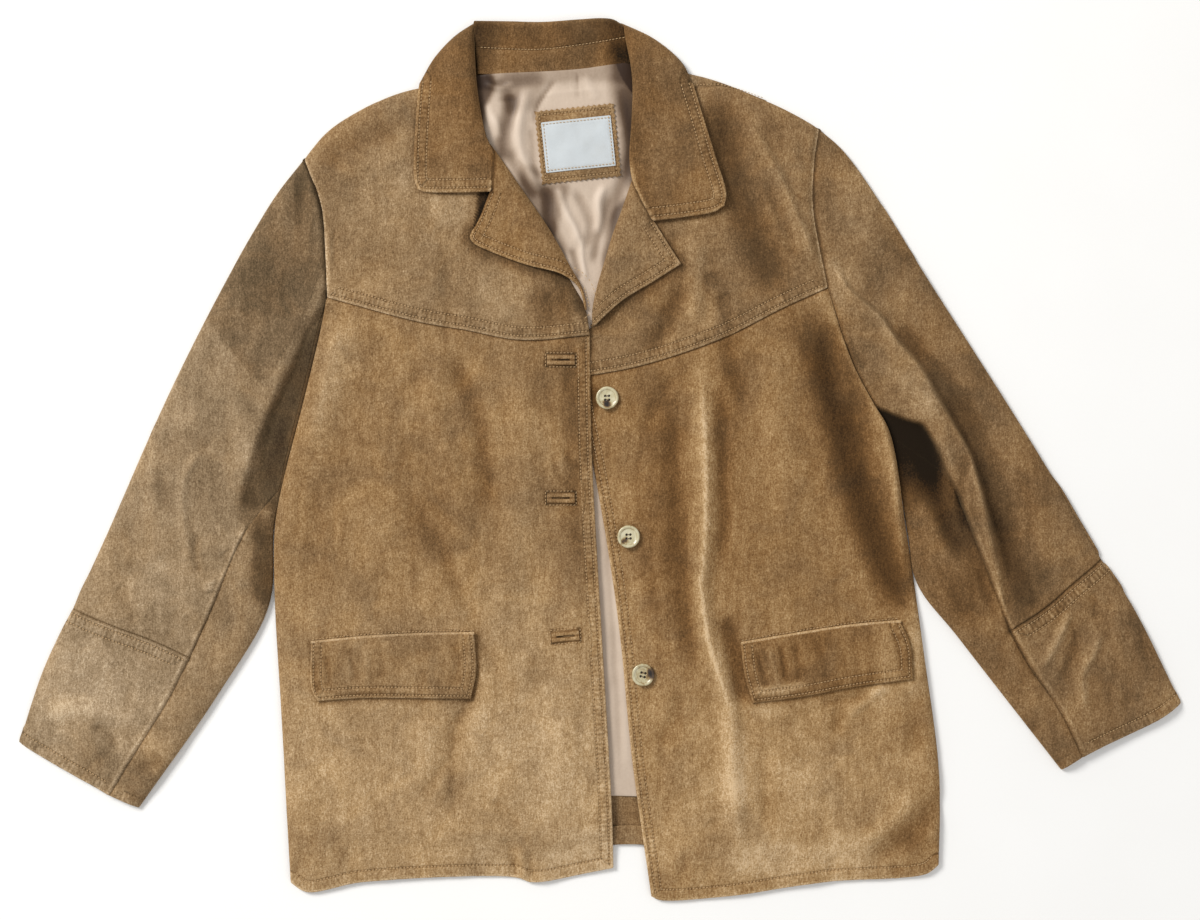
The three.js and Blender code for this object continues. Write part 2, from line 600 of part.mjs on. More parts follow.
/** The sleeve's upper piece, from its armhole to the cuff seam. */
function topSleeve(sleeve) {
  const { armhole, outer, topSeam, outward } = sleeveEdges(sleeve);
  const { cuffSeam, height, outerOnLeft } = sleeve;
  const foot = [...cuffSeam.slice(0, -1), moved(cuffSeam.slice(-1), outward, 0)[0]];
  const edges = outerOnLeft
    ? { top: armhole, bottom: curve(foot), left: outer, right: topSeam }
    : { top: armhole, bottom: curve(reversed(foot)), left: topSeam, right: outer };
  return wall(patch(edges, 9, CUFF_ROW, height), SUEDE);
}

function cuff(sleeve) {
  const { cuffFold, outward } = sleeveEdges(sleeve);
  const { cuffSeam, cuffOuter, cuffEnd, height, outerOnLeft } = sleeve;
  const head = [...moved(cuffSeam.slice(0, -1), 0, -GAP), moved(cuffSeam.slice(-1), outward, -GAP)[0]];
  const foot = [...cuffEnd.slice(0, -1), moved(cuffEnd.slice(-1), outward, 0)[0]];
  const outer = curve([head[0], ...cuffOuter.slice(1)]);
  const edges = outerOnLeft
    ? { top: curve(head), bottom: curve(foot), left: outer, right: cuffFold }
    : { top: curve(reversed(head)), bottom: curve(reversed(foot)), left: cuffFold, right: outer };
  return wall(patch(edges, 9, END_ROW - CUFF_ROW, height), SUEDE);
}

/** The sleeve's lower piece: flat on the floor, round the inner edge, and up to the seam on top. */
function underSleeve(sleeve) {
  const { armhole, wholeOuter, inner, innerRows, seamRows } = sleeveEdges(sleeve);
  const { end, height, outerOnLeft } = sleeve;
  const edges = outerOnLeft
    ? { top: armhole, bottom: curve(end), left: wholeOuter, right: inner }
    : { top: armhole, bottom: curve(reversed(end)), left: inner, right: wholeOuter };
  const floor = patch(edges, 6, END_ROW, () => 0);
  const radius = EDGE / 2;
  const grid = floor.map((floorLine, row) => {
    const inward = seamRows[row].clone().sub(innerRows[row]).normalize();
    const wrapAt = (angle) => {
      const point = innerRows[row].clone().addScaledVector(inward, radius * (1 - Math.cos(angle)));
      return point.setZ(radius * (1 + Math.sin(angle)));
    };
    const crest = wrapAt(Math.PI / 2);
    const strip = [0, 1 / 3, 2 / 3].map((step) => {
      const point = seamRows[row].clone().lerp(crest, step);
      return point.setZ(height(point.x, point.y));
    });
    const wrap = [1, 0.5, 0, -0.5, -1].map((quarter) => wrapAt((Math.PI / 2) * quarter));
    const towardsOuter = outerOnLeft ? [...floorLine].reverse() : floorLine;
    const line = [...strip, ...wrap, ...towardsOuter.slice(1)];
    return outerOnLeft ? line : line.reverse();
  });
  return wall(grid, SUEDE);
}

/** A pocket flap lying on a front, all four edges straight or nearly so. */
function flap({ top, outer, inner, end }, height) {
  const lying = (x, y) => height(x, y) + LAID + FACED;
  return panel({ top, bottom: end, left: outer, right: inner }, 8, 4, lying, FACED);
}

/** The narrow welt above a flap. */
function welt({ top }, height) {
  const foot = moved(top, 0, GAP);
  const head = moved(foot, 0, WELT.width);
  const edges = { top: head, bottom: foot, left: [head[0], foot[0]], right: [head.at(-1), foot.at(-1)] };
  return panel(edges, 8, 1, (x, y) => height(x, y) + LAID + WELT.height, WELT.height);
}

// ---------------------------------------------------------------- buttonholes and buttons

/** The left front with the buttonholes' slits cut through it. */
function frontWithSlits(geometry) {
  let body = manifold(geometry);
  for (const { at, turn } of BUTTONHOLES) {
    const cut = new THREE.BoxGeometry(BUTTONHOLE.slit, BUTTONHOLE.gap, 4 * TOP);
    cut.rotateZ(THREE.MathUtils.degToRad(turn)).translate(...at, TOP);
    body = body.subtract(manifold(cut));
  }
  return fromManifold(body);
}

/** The lowest a flat piece of this size can lie on the cloth. */
function restingOn(height, [x, y], halfLength, halfWidth) {
  let highest = 0;
  for (const dx of [-1, -0.5, 0, 0.5, 1]) {
    for (const dy of [-1, 0, 1]) highest = Math.max(highest, height(x + dx * halfLength, y + dy * halfWidth));
  }
  return highest + LAID;
}

/** The two lips of a bound buttonhole, joined at their ends round the slit. */
function lips() {
  const { length, width, slit, gap, height } = BUTTONHOLE;
  const rectangle = (path, across, up) => {
    path.moveTo(-across / 2, -up / 2);
    path.lineTo(across / 2, -up / 2);
    path.lineTo(across / 2, up / 2);
    path.lineTo(-across / 2, up / 2);
    path.closePath();
    return path;
  };
  const outline = rectangle(new THREE.Shape(), length, width);
  outline.holes.push(rectangle(new THREE.Path(), slit, gap));
  return new THREE.ExtrudeGeometry(outline, { depth: height, bevelEnabled: false });
}

/** A geometry as a solid that can be joined or cut. */
function manifold(geometry) {
  const bare = geometry.clone();
  bare.deleteAttribute("normal");
  bare.deleteAttribute("uv");
  const merged = mergeVertices(bare);
  const vertProperties = Float32Array.from(merged.getAttribute("position").array);
  const triVerts = Uint32Array.from(merged.getIndex().array);
  return new wasm.Manifold(new wasm.Mesh({ numProp: 3, vertProperties, triVerts }));
}

function fromManifold(body) {
  const { vertProperties, triVerts } = body.getMesh();
  const geometry = new THREE.BufferGeometry();
  geometry.setAttribute("position", new THREE.BufferAttribute(Float32Array.from(vertProperties), 3));
  geometry.setIndex([...triVerts]);
  return geometry;
}

/** A four-hole button: a turned disc with a rounded rim and a dished face. */
function button() {
  const radius = BUTTON.diameter / 2;
  const { height, rim, dish, hole, pitch } = BUTTON;
  const profile = [
    [0, 0], [radius * 0.7, 0], [radius - 0.4, height * 0.35], [radius, height * 0.6],
    [radius - 0.5, height * 0.9], [radius - rim / 2, height], [radius - rim, height - dish * 0.6],
    [radius - rim * 1.6, height - dish], [0, height - dish],
  ];
  const outline = profile.map(([r, z]) => new THREE.Vector2(r, z));
  const disc = new THREE.LatheGeometry(outline, 20).rotateX(Math.PI / 2);
  let body = manifold(outwards(disc));
  for (const [sideX, sideY] of [[-1, -1], [-1, 1], [1, -1], [1, 1]]) {
    const bore = new THREE.CylinderGeometry(hole / 2, hole / 2, 3 * height, 8).rotateX(Math.PI / 2);
    bore.translate((sideX * pitch) / 2, (sideY * pitch) / 2, height / 2);
    body = body.subtract(manifold(bore));
  }
  return fromManifold(body);
}

// ---------------------------------------------------------------- the coat

const group = new THREE.Group();

function add(name, geometry, color, roughness = 0.95) {
  const material = new THREE.MeshStandardMaterial({ color, roughness, metalness: 0 });
  const mesh = new THREE.Mesh(geometry, material);
  mesh.name = name;
  group.add(mesh);
  return mesh;
}

function addLying(name, geometry, color, { at, turn }, height, halfLength, halfWidth, roughness) {
  const mesh = add(name, geometry, color, roughness);
  mesh.position.set(...at, restingOn(height, at, halfLength, halfWidth));
  mesh.rotation.z = THREE.MathUtils.degToRad(turn);
}

add("back", back(), COLOUR.front);
add("back_hem", backHem(), COLOUR.front);
add("lining", lining(), COLOUR.lining, 0.5);
add("neck_patch", neckPiece(PATCH, 0, SUEDE), COLOUR.front);
add("label", neckPiece(LABEL, LAID + SUEDE, LINING), COLOUR.label, 0.6);

const leftYoke = yoke(SHOULDER_LEFT, YOKE_SEAM_LEFT, ARMHOLE_LEFT, YOKE_INNER_LEFT, topOf.left);
const rightYoke = yoke(SHOULDER_RIGHT, YOKE_SEAM_RIGHT, YOKE_INNER_RIGHT, ARMHOLE_RIGHT, topOf.right);
add("yoke_left", leftYoke, COLOUR.front);
add("yoke_right", rightYoke, COLOUR.front);
const leftFront = front(YOKE_SEAM_LEFT, FRONT_HEM_LEFT, SIDE_LEFT, FRONT_EDGE_LEFT, topOf.left);
const rightFront = front(YOKE_SEAM_RIGHT, FRONT_HEM_RIGHT, FRONT_EDGE_RIGHT, SIDE_RIGHT, topOf.right);
add("front_left", frontWithSlits(leftFront), COLOUR.front);
add("front_right", rightFront, COLOUR.front);

add("lapel_left", lapel(LAPEL_LEFT, topOf.left, true), COLOUR.collar);
add("lapel_right", lapel(LAPEL_RIGHT, topOf.right, false), COLOUR.collar);
add("collar_leaf_left", leaf(LEAF_LEFT, true), COLOUR.collar);
add("collar_leaf_right", leaf(LEAF_RIGHT, false), COLOUR.collar);
add("collar_back", collarBack(), COLOUR.collar);

const SLEEVES = {
  left: {
    armhole: ARMHOLE_LEFT, outer: SLEEVE_OUTER_LEFT, cuffOuter: CUFF_OUTER_LEFT, inner: SLEEVE_INNER_LEFT,
    seam: SLEEVE_SEAM_LEFT, seamRow: SEAM_ROW_LEFT, fold: CUFF_FOLD_LEFT, cuffSeam: CUFF_SEAM_LEFT,
    cuffEnd: CUFF_END_LEFT, end: SLEEVE_END_LEFT, height: topOf.sleeveLeft, outerOnLeft: true,
  },
  right: {
    armhole: ARMHOLE_RIGHT, outer: SLEEVE_OUTER_RIGHT, cuffOuter: CUFF_OUTER_RIGHT, inner: SLEEVE_INNER_RIGHT,
    seam: SLEEVE_SEAM_RIGHT, seamRow: SEAM_ROW_RIGHT, fold: CUFF_FOLD_RIGHT, cuffSeam: CUFF_SEAM_RIGHT,
    cuffEnd: CUFF_END_RIGHT, end: SLEEVE_END_RIGHT, height: topOf.sleeveRight, outerOnLeft: false,
  },
};
for (const [side, sleeve] of Object.entries(SLEEVES)) {
  add(`sleeve_top_${side}`, topSleeve(sleeve), COLOUR.sleeve);
  add(`sleeve_under_${side}`, underSleeve(sleeve), COLOUR.sleeve);
  add(`cuff_${side}`, cuff(sleeve), COLOUR.sleeve);
}

add("flap_left", flap(FLAP_LEFT, topOf.left), COLOUR.front);
add("flap_right", flap(FLAP_RIGHT, topOf.right), COLOUR.front);
add("welt_left", welt(FLAP_LEFT, topOf.left), COLOUR.front);
add("welt_right", welt(FLAP_RIGHT, topOf.right), COLOUR.front);

BUTTONHOLES.forEach((place, i) => {
  const { length, width } = BUTTONHOLE;
  addLying(`buttonhole_${i + 1}`, lips(), COLOUR.front, place, topOf.left, length / 2, width / 2);
});
BUTTONS.forEach((place, i) => {
  const radius = BUTTON.diameter / 2;
  addLying(`button_${i + 1}`, button(), COLOUR.horn, place, topOf.right, radius, radius, 0.35);
});

export default group;
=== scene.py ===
import json
import math

import bpy
import numpy as np
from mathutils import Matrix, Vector

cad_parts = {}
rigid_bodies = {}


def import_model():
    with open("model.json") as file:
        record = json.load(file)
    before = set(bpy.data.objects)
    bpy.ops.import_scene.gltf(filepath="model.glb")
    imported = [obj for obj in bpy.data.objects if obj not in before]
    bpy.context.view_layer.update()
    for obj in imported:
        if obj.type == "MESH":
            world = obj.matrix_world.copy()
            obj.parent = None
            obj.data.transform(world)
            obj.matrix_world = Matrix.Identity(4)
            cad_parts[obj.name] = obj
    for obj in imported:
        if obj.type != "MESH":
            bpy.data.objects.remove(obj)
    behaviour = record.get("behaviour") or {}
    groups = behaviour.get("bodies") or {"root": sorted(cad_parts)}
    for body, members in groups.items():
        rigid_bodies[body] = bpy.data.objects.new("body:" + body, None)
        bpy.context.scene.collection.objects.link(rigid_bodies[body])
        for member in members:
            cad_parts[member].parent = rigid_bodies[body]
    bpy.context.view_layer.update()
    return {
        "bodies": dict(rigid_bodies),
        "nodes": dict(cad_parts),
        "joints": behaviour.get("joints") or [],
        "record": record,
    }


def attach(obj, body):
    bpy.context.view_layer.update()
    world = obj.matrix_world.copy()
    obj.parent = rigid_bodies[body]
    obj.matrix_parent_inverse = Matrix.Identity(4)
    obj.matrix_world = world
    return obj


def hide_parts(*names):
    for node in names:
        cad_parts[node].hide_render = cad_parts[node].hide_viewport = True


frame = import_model()

# A suede coat lying flat on its back, unbuttoned. Tables and heights are in millimetres, with the CAD's
# origin, and meshes are made in metres. West is -X, the side with the buttonholes, and north is the collar.

MM = 0.001
SIDES = ("left", "right")

# ------------------------------------------------------------------------------------------ sizes

SUEDE, FRONT, FACED, LINING = 1.2, 1.8, 2.2, 1.0  # thicknesses: a cloth, a front, a faced cloth, the satin
LAID = 0.6  # the air under a piece that lies on another
TOP = 8.2  # the upper cloth's height where it lies flat
EDGE = 3.0  # and where it meets the back at a folded edge
SIDE_ROLL, SHOULDER_ROLL = 15, 18  # how far in the cloth has risen from such an edge
ARMPIT_DEPTH = 40  # how far below an armpit the side becomes such an edge
HEM_TOP, HEM_ROLL = 4.4, 46
OPEN_TOP = {"left": 7.4, "right": 4.9}  # at the front edges: the left front lies over the right one
OPEN_ROLL = {"left": 30, "right": 40}
OPEN_FLAT = {"left": 3, "right": 13}
NECK_LIFT = 2.7  # how much the collar's fold lifts the cloth at the neck, and where
NECK_LIFT_FROM, NECK_LIFT_TO = 222, 314
NECK_CENTRE, NECK_HALF, NECK_FADE = -44, 128, 62
ARMHOLE_GROOVE = (1.9, 3.0)  # depth and half width
YOKE_SUNK = 4.6  # the most a yoke rises where a lapel covers it
LAPEL_ROLL_TOP, LEAF_ROLL_TOP, LEAF_BACK_TOP = 5.4, 8.4, 3.2
CUFF_DROP = 1.2

STITCH_PITCH, PUCKER_PITCH = 3.1, 4.4
ROWS = (3.0, 10.5)  # how far in from a seam its two stitch rows lie
FRONT_ROWS = {"left": (2.6, 9.8), "right": (3.6, 9.0)}
SEAM_REACH, ROW_REACH = 16, 4.0  # how far from a seam and from a stitch row their marks can reach
THREAD_SIDES = 6
THREAD_RINGS = ((-0.86, 0.62), (-0.4, 1), (0.4, 1), (0.86, 0.62))  # shares of half its length and its radius

# How the steps of a grid start at an edge: closer together beside a seam or a roll.
END_STEPS = {
    "plain": (0,),
    "seam": (0, 0.8, 1.6, 2.4, 3.0, 3.8, 4.8, 6, 7.2, 8.4, 9.6, 10.5, 11.4, 12.6, 14),
    "roll": (0, 0.25, 0.8, 1.6, 2.7, 4.1, 6, 8.4, 11, 14),
}
PLAIN = ("plain",) * 4
LAPEL_WIDE = 45  # about the width of a lapel, for the steps across it

# ------------------------------------------------------------------------------------------ shades
# A shade is in stops of light, and warmth goes from 0 for the cool range of colours to 1 for the warm one.

WARM = ((26, 17, 8), (64, 43, 21), (98, 69, 38), (124, 90, 53), (148, 115, 75), (179, 147, 105),
        (210, 181, 142))
COOL = ((24, 18, 11), (56, 43, 29), (89, 73, 52), (115, 94, 69), (140, 118, 90), (169, 146, 117),
        (203, 182, 152))
RAMP_PLACES = (0.0, 0.211, 0.467, 0.605, 0.727, 0.867, 0.995)
DARKEST, STOPS_WIDE = -4.0, 5.5
BASE = {"left": -0.17, "right": -0.32, "sleeve_left": 0.02, "sleeve_right": -0.55}
PALER_FOOT = {"left": 0.58, "right": 0.46}  # how much paler the fronts get down to the hem
PALER_FROM, PALER_TO = 60, 260
LAPEL_DARK = {"left": -1.3, "right": -0.9}  # the shade beside a lapel
LEAF_SHADE = {"left": -0.7, "right": -0.53}
LEAF_WORN = {"left": 0.55, "right": 0.15}  # the paler band along a collar leaf's end
FLAP_SHADE = {"left": 0.07, "right": -0.3}
CUFF_SHADE = {"left": 0.25, "right": 0.1}
CUFF_SEAM_DARK = {"left": -0.5, "right": -0.8}
CUFF_LADDER = {"left": 1.0, "right": 1.7}  # how strongly the cuff seam puckers
WARMTH = {
    "left": {"yoke": 0.45, "front": 0.75, "lapel": 0.9, "leaf": 0.75, "under_sleeve": 0.3, "sleeve": 0.08,
             "flap": 0.7},
    "right": {"yoke": 0.6, "front": 0.95, "lapel": 0.5, "leaf": 0.75, "under_sleeve": 0.7, "sleeve": 0.58,
              "flap": 0.9},
}

# ------------------------------------------------------------------------------------------ outlines: x, y

ARMHOLE = {
    "left": [(-266.4, 270.9), (-255.6, 243), (-249, 217.8), (-246.6, 182.7), (-244.8, 145.8)],
    "right": [(197.1, 297.9), (192.6, 269), (191.7, 224), (197.1, 190.8), (204.3, 154.8)],
}
SHOULDER = {
    "left": [(-266.4, 270.9), (-245.7, 295.2), (-216.9, 314.1), (-184.5, 328.5), (-160, 335), (-119, 341)],
    "right": [(38, 342), (84, 335), (110.7, 336), (146.7, 324), (177.3, 309.6), (197.1, 297.9)],
}
SIDE = {
    "left": [(-244.8, 145.8), (-263.7, 67.5), (-288.9, -34.2), (-293.4, -63), (-293.4, -121.5), (-288, -217),
             (-279, -381)],
    "right": [(204.3, 154.8), (227.5, 87.3), (246.5, 50), (261, 24.3), (276.3, -65.7), (291.6, -172.8),
              (306, -288.9), (305.5, -365)],
}
FRONT_HEM = {
    "left": [(-279, -381), (-264.6, -389.7), (-214.2, -380.7), (-76.5, -376.5), (-62, -380.8),
             (11.2, -368.1)],
    "right": [(47, -394), (54, -397), (109.8, -394.2), (201.6, -380.7), (293.4, -373.5), (305.5, -365)],
}
FRONT_EDGE = {
    "left": [(-10, 112), (-9, 35), (-7.2, -18.9), (0.9, -161.1), (9.9, -317.7), (11.2, -368.1)],
    "right": [(-21, 74), (-15, 40), (-3.6, -14.4), (16.2, -136.8), (30.6, -277.2), (47, -394)],
}
YOKE_SEAM = {
    "left": [(-244.8, 145.8), (-163.8, 124.2), (-122.4, 117), (-70.2, 107.5), (-10, 112)],
    "right": [(-21, 74), (36, 84.6), (108.9, 108.9), (164.7, 136.8), (204.3, 154.8)],
}
YOKE_INNER = {
    "left": [(-119, 341), (-111, 290), (-57, 205), (-26, 158), (-14, 135), (-10, 112)],
    "right": [(38, 342), (38, 250), (20, 203), (3, 150), (0, 128), (-17, 106), (-21, 74)],
}
BACK_SHOULDERS = [
    (-266.4, 270.9), (-216.9, 314.1), (-160, 335), (-112, 343), (-61, 349), (-15, 352), (30, 353), (82, 341),
    (146.7, 324), (197.1, 297.9),
]
BACK_STRIP = {
    "top": [(40, 352), (82, 347), (111, 339), (150, 323.5)],
    "foot": [(40, 338), (84, 335), (111, 335), (148, 323)],
}
BACK_HEM = [(-277, -376), (-150, -360), (15, -347.4), (160, -351), (303, -362)]
LINING_EDGES = {
    "left": [(-112, 345), (-102, 291), (-76, 232), (-45, 140), (-42, 0), (-42, -303)],
    "right": [(33, 357.5), (34, 291), (42, 232), (34, 140), (44, 0), (80, -306)],
    "top": [(-112, 345), (-78, 347), (-44, 348.5), (-14, 351), (6, 354), (33, 357.5)],
    "foot": [(-42, -303), (20, -303.5), (80, -306)],
}
TURN_UP, TURN_UP_FROM, TURN_UP_TO = 16, -42, 80
# Points on the side of the seams where the stitches lie.
YOKE_INSIDE = {"left": (0, 200), "right": (100, 220)}
FRONT_INSIDE = {"left": (-150, -100), "right": (180, -100)}

SLEEVE = {
    "left": {
        "outer": [(-266.4, 270.9), (-297, 230.4), (-378, 81), (-450, -80.1), (-475.2, -135)],
        "cuff_outer": [(-475.2, -135), (-500.4, -186.3), (-523.6, -254.7)],
        "inner": [(-244.8, 145.8), (-263.7, 67.5), (-288.9, -34.2), (-294.6, -66), (-298.5, -131.4),
                  (-344.7, -212.4), (-415.8, -314.1)],
        "cuff_end": [(-523.6, -254.7), (-487.8, -276), (-457, -293.4), (-441, -302.8)],
        "end": (-415.8, -314.1),
        "cuff_seam": [(-475.2, -135), (-443.7, -148.5), (-402.3, -163.8), (-369, -179.1)],
        "seam": [(-319.5, -67.5), (-351, -139.5), (-369, -179.1)],
        "fold": [(-369, -179.1), (-388.8, -218.7), (-413.1, -257.4), (-441, -302.8)],
        "seam_row": 6,
    },
    "right": {
        "outer": [(197.1, 297.9), (222.3, 274.5), (306, 145.8), (396, 3.6), (451.8, -90.5)],
        "cuff_outer": [(451.8, -90.5), (481.5, -135), (523.6, -219.6)],
        "inner": [(204.3, 154.8), (227.5, 87.3), (246.5, 50), (261, 24.3), (277.4, -65.7), (286, -112),
                  (324, -162), (415.8, -279.9)],
        "cuff_end": [(523.6, -219.6), (503.1, -234), (452.7, -258.3), (434, -268)],
        "end": (415.8, -279.9),
        "cuff_seam": [(451.8, -90.5), (424.8, -113.4), (399.6, -135), (369, -154.8)],
        "seam": [(313.2, -18.9), (334.8, -69.3), (369, -154.8)],
        "fold": [(369, -154.8), (389.7, -191.7), (411.3, -222.3), (434, -268)],
        "seam_row": 5,
    },
}
STRIP = 3.5  # how far in from its folded edge a sleeve's lower half ends
UNDER_BY = 0.35  # how far it lies under the upper cloth there
CUFF_ROW, END_ROW, ROW_PARTS = 12, 16, 8  # rows down a sleeve, with parts between them
CUFF_SEAM_AT = 0.73  # the cuff seam's place along the inner edge

# A lapel's gorge lies under the collar, its notch and its lower edge on the yoke, and its roll over the neck.
LAPEL = {
    "left": {
        "gorge": [(-98.5, 239.6), (-97, 262), (-99, 284)],
        "notch": [(-98.5, 239.6), (-107, 218), (-113.8, 205)],
        "lower": [(-113.8, 205), (-116, 199.5), (-113, 194.5), (-98, 187), (-66, 175), (-34, 166), (-18, 155),
                  (-11.5, 134)],
        "roll": [(-99, 284), (-86, 266), (-75, 250), (-45, 206), (-26, 172), (-15, 152), (-11.5, 134)],
    },
    "right": {
        "gorge": [(29, 252), (36, 234), (47.5, 214)],
        "notch": [(47.5, 214), (60, 194), (72, 175.5)],
        "lower": [(-7, 119), (20, 143), (46, 159), (72, 175.5)],
        "roll": [(29, 252), (19, 223), (11.7, 203.4), (4, 178), (-3, 154), (-7, 134), (-7, 119)],
    },
}
LEAF = {
    "left": {
        "top": [(-162, 340.2), (-149, 362), (-131, 381), (-113.2, 393)],
        "inner": [(-113.2, 393), (-110.6, 337), (-102.5, 291), (-95.8, 272), (-98.6, 241)],
        "outer": [(-162, 340.2), (-165.4, 290), (-165.8, 252), (-163, 242.5)],
        "end": [(-163, 242.5), (-158, 240.6), (-130, 240), (-98.6, 241)],
    },
    "right": {
        "top": [(19, 393), (50, 378), (74.7, 356.4), (82.8, 339.3)],
        "inner": [(19, 393), (28.6, 345), (29.4, 253), (47.6, 214.6)],
        "outer": [(82.8, 339.3), (101.7, 275.4), (112.5, 237), (110.7, 227.6)],
        "end": [(47.6, 214.6), (75, 218), (103, 223), (110.7, 227.6)],
    },
}
COLLAR_BACK = {
    "seam": [(-109, 347.5), (-82, 346), (-58, 345.5), (-36, 347), (-14, 350), (6, 353), (26.6, 356.5)],
    "fold": [(-112.5, 394.4), (-82, 394), (-52, 393.4), (-20, 395.6), (2, 396.8), (12, 395.6), (20, 391)],
}
COLLAR_CREST, COLLAR_FALL, COLLAR_STITCH = 11.0, 78, 22.5
COLLAR_BACK_FLAT = (0.142, 0.134)  # in metres: its length by its stand, fold and fall
COLLAR_INSIDE = (-50, 400)

FLAP = {
    "left": {
        "top": [(-259.2, -166.5), (-212.4, -162), (-162, -159.3), (-113.4, -158.4)],
        "left": [(-259.2, -166.5), (-258.3, -207), (-252.9, -216.9)],
        "right": [(-113.4, -158.4), (-111.6, -190), (-116.5, -215.1)],
        "foot": [(-252.9, -216.9), (-212.4, -214.2), (-116.5, -215.1)],
    },
    "right": {
        "top": [(126.9, -167.4), (180, -158.4), (228.6, -151.2), (270, -147.6)],
        "left": [(126.9, -167.4), (130.5, -195), (137.7, -218.7)],
        "right": [(270, -147.6), (278.1, -166.5), (280.5, -197.1)],
        "foot": [(137.7, -218.7), (180, -213.3), (228.6, -204.3), (280.5, -197.1)],
    },
}
WELT = 2.8
BUTTONHOLES = [{"centre": (-35.1, 89.1), "turn": 0}, {"centre": (-35.1, -35.1), "turn": 0},
               {"centre": (-31, -159.3), "turn": 5}]
BOUND = {"lips": (24, 9.0), "frame": (27.4, 12.6)}  # a bound buttonhole, and the stitches round it
LIP_SHADE = 1.5  # how much larger than its lips the opening is that they darken
# Each button: its centre, its turn, and its dark marbling's place east and north of that, reach and stops.
BUTTONS = [((6.5, 54.9), 2, (-0.4, -5.0, 3.6, -1.1)), ((25.7, -69.7), 2, (-2.7, -3.8, 3.8, -0.9)),
           ((38.7, -194), -12, (7.4, 1.2, 6.0, -1.05))]
BUTTON = {"radius": 10.25, "hole": 1.05, "pitch": 1.75}
BUTTON_SIDES = 72
# Its profile, as shares of its radius and heights: up to the rim from below, and in from there over the face.
BUTTON_UNDER = [(0, 0.0), (0.66, 0.0), (0.9, 0.9), (1.0, 2.1), (0.985, 2.9), (0.93, 3.45), (0.86, 3.6)]
BUTTON_FACE = [(0.86, 3.6), (0.78, 3.3), (0.68, 2.75), (0.55, 2.55), (0.0, 2.5)]
PATCH = {"centre": (-19.8, 283.4), "size": (69, 63), "turn": 6}
LABEL = {"centre": (-19.4, 283), "size": (62, 44.5), "turn": 6}
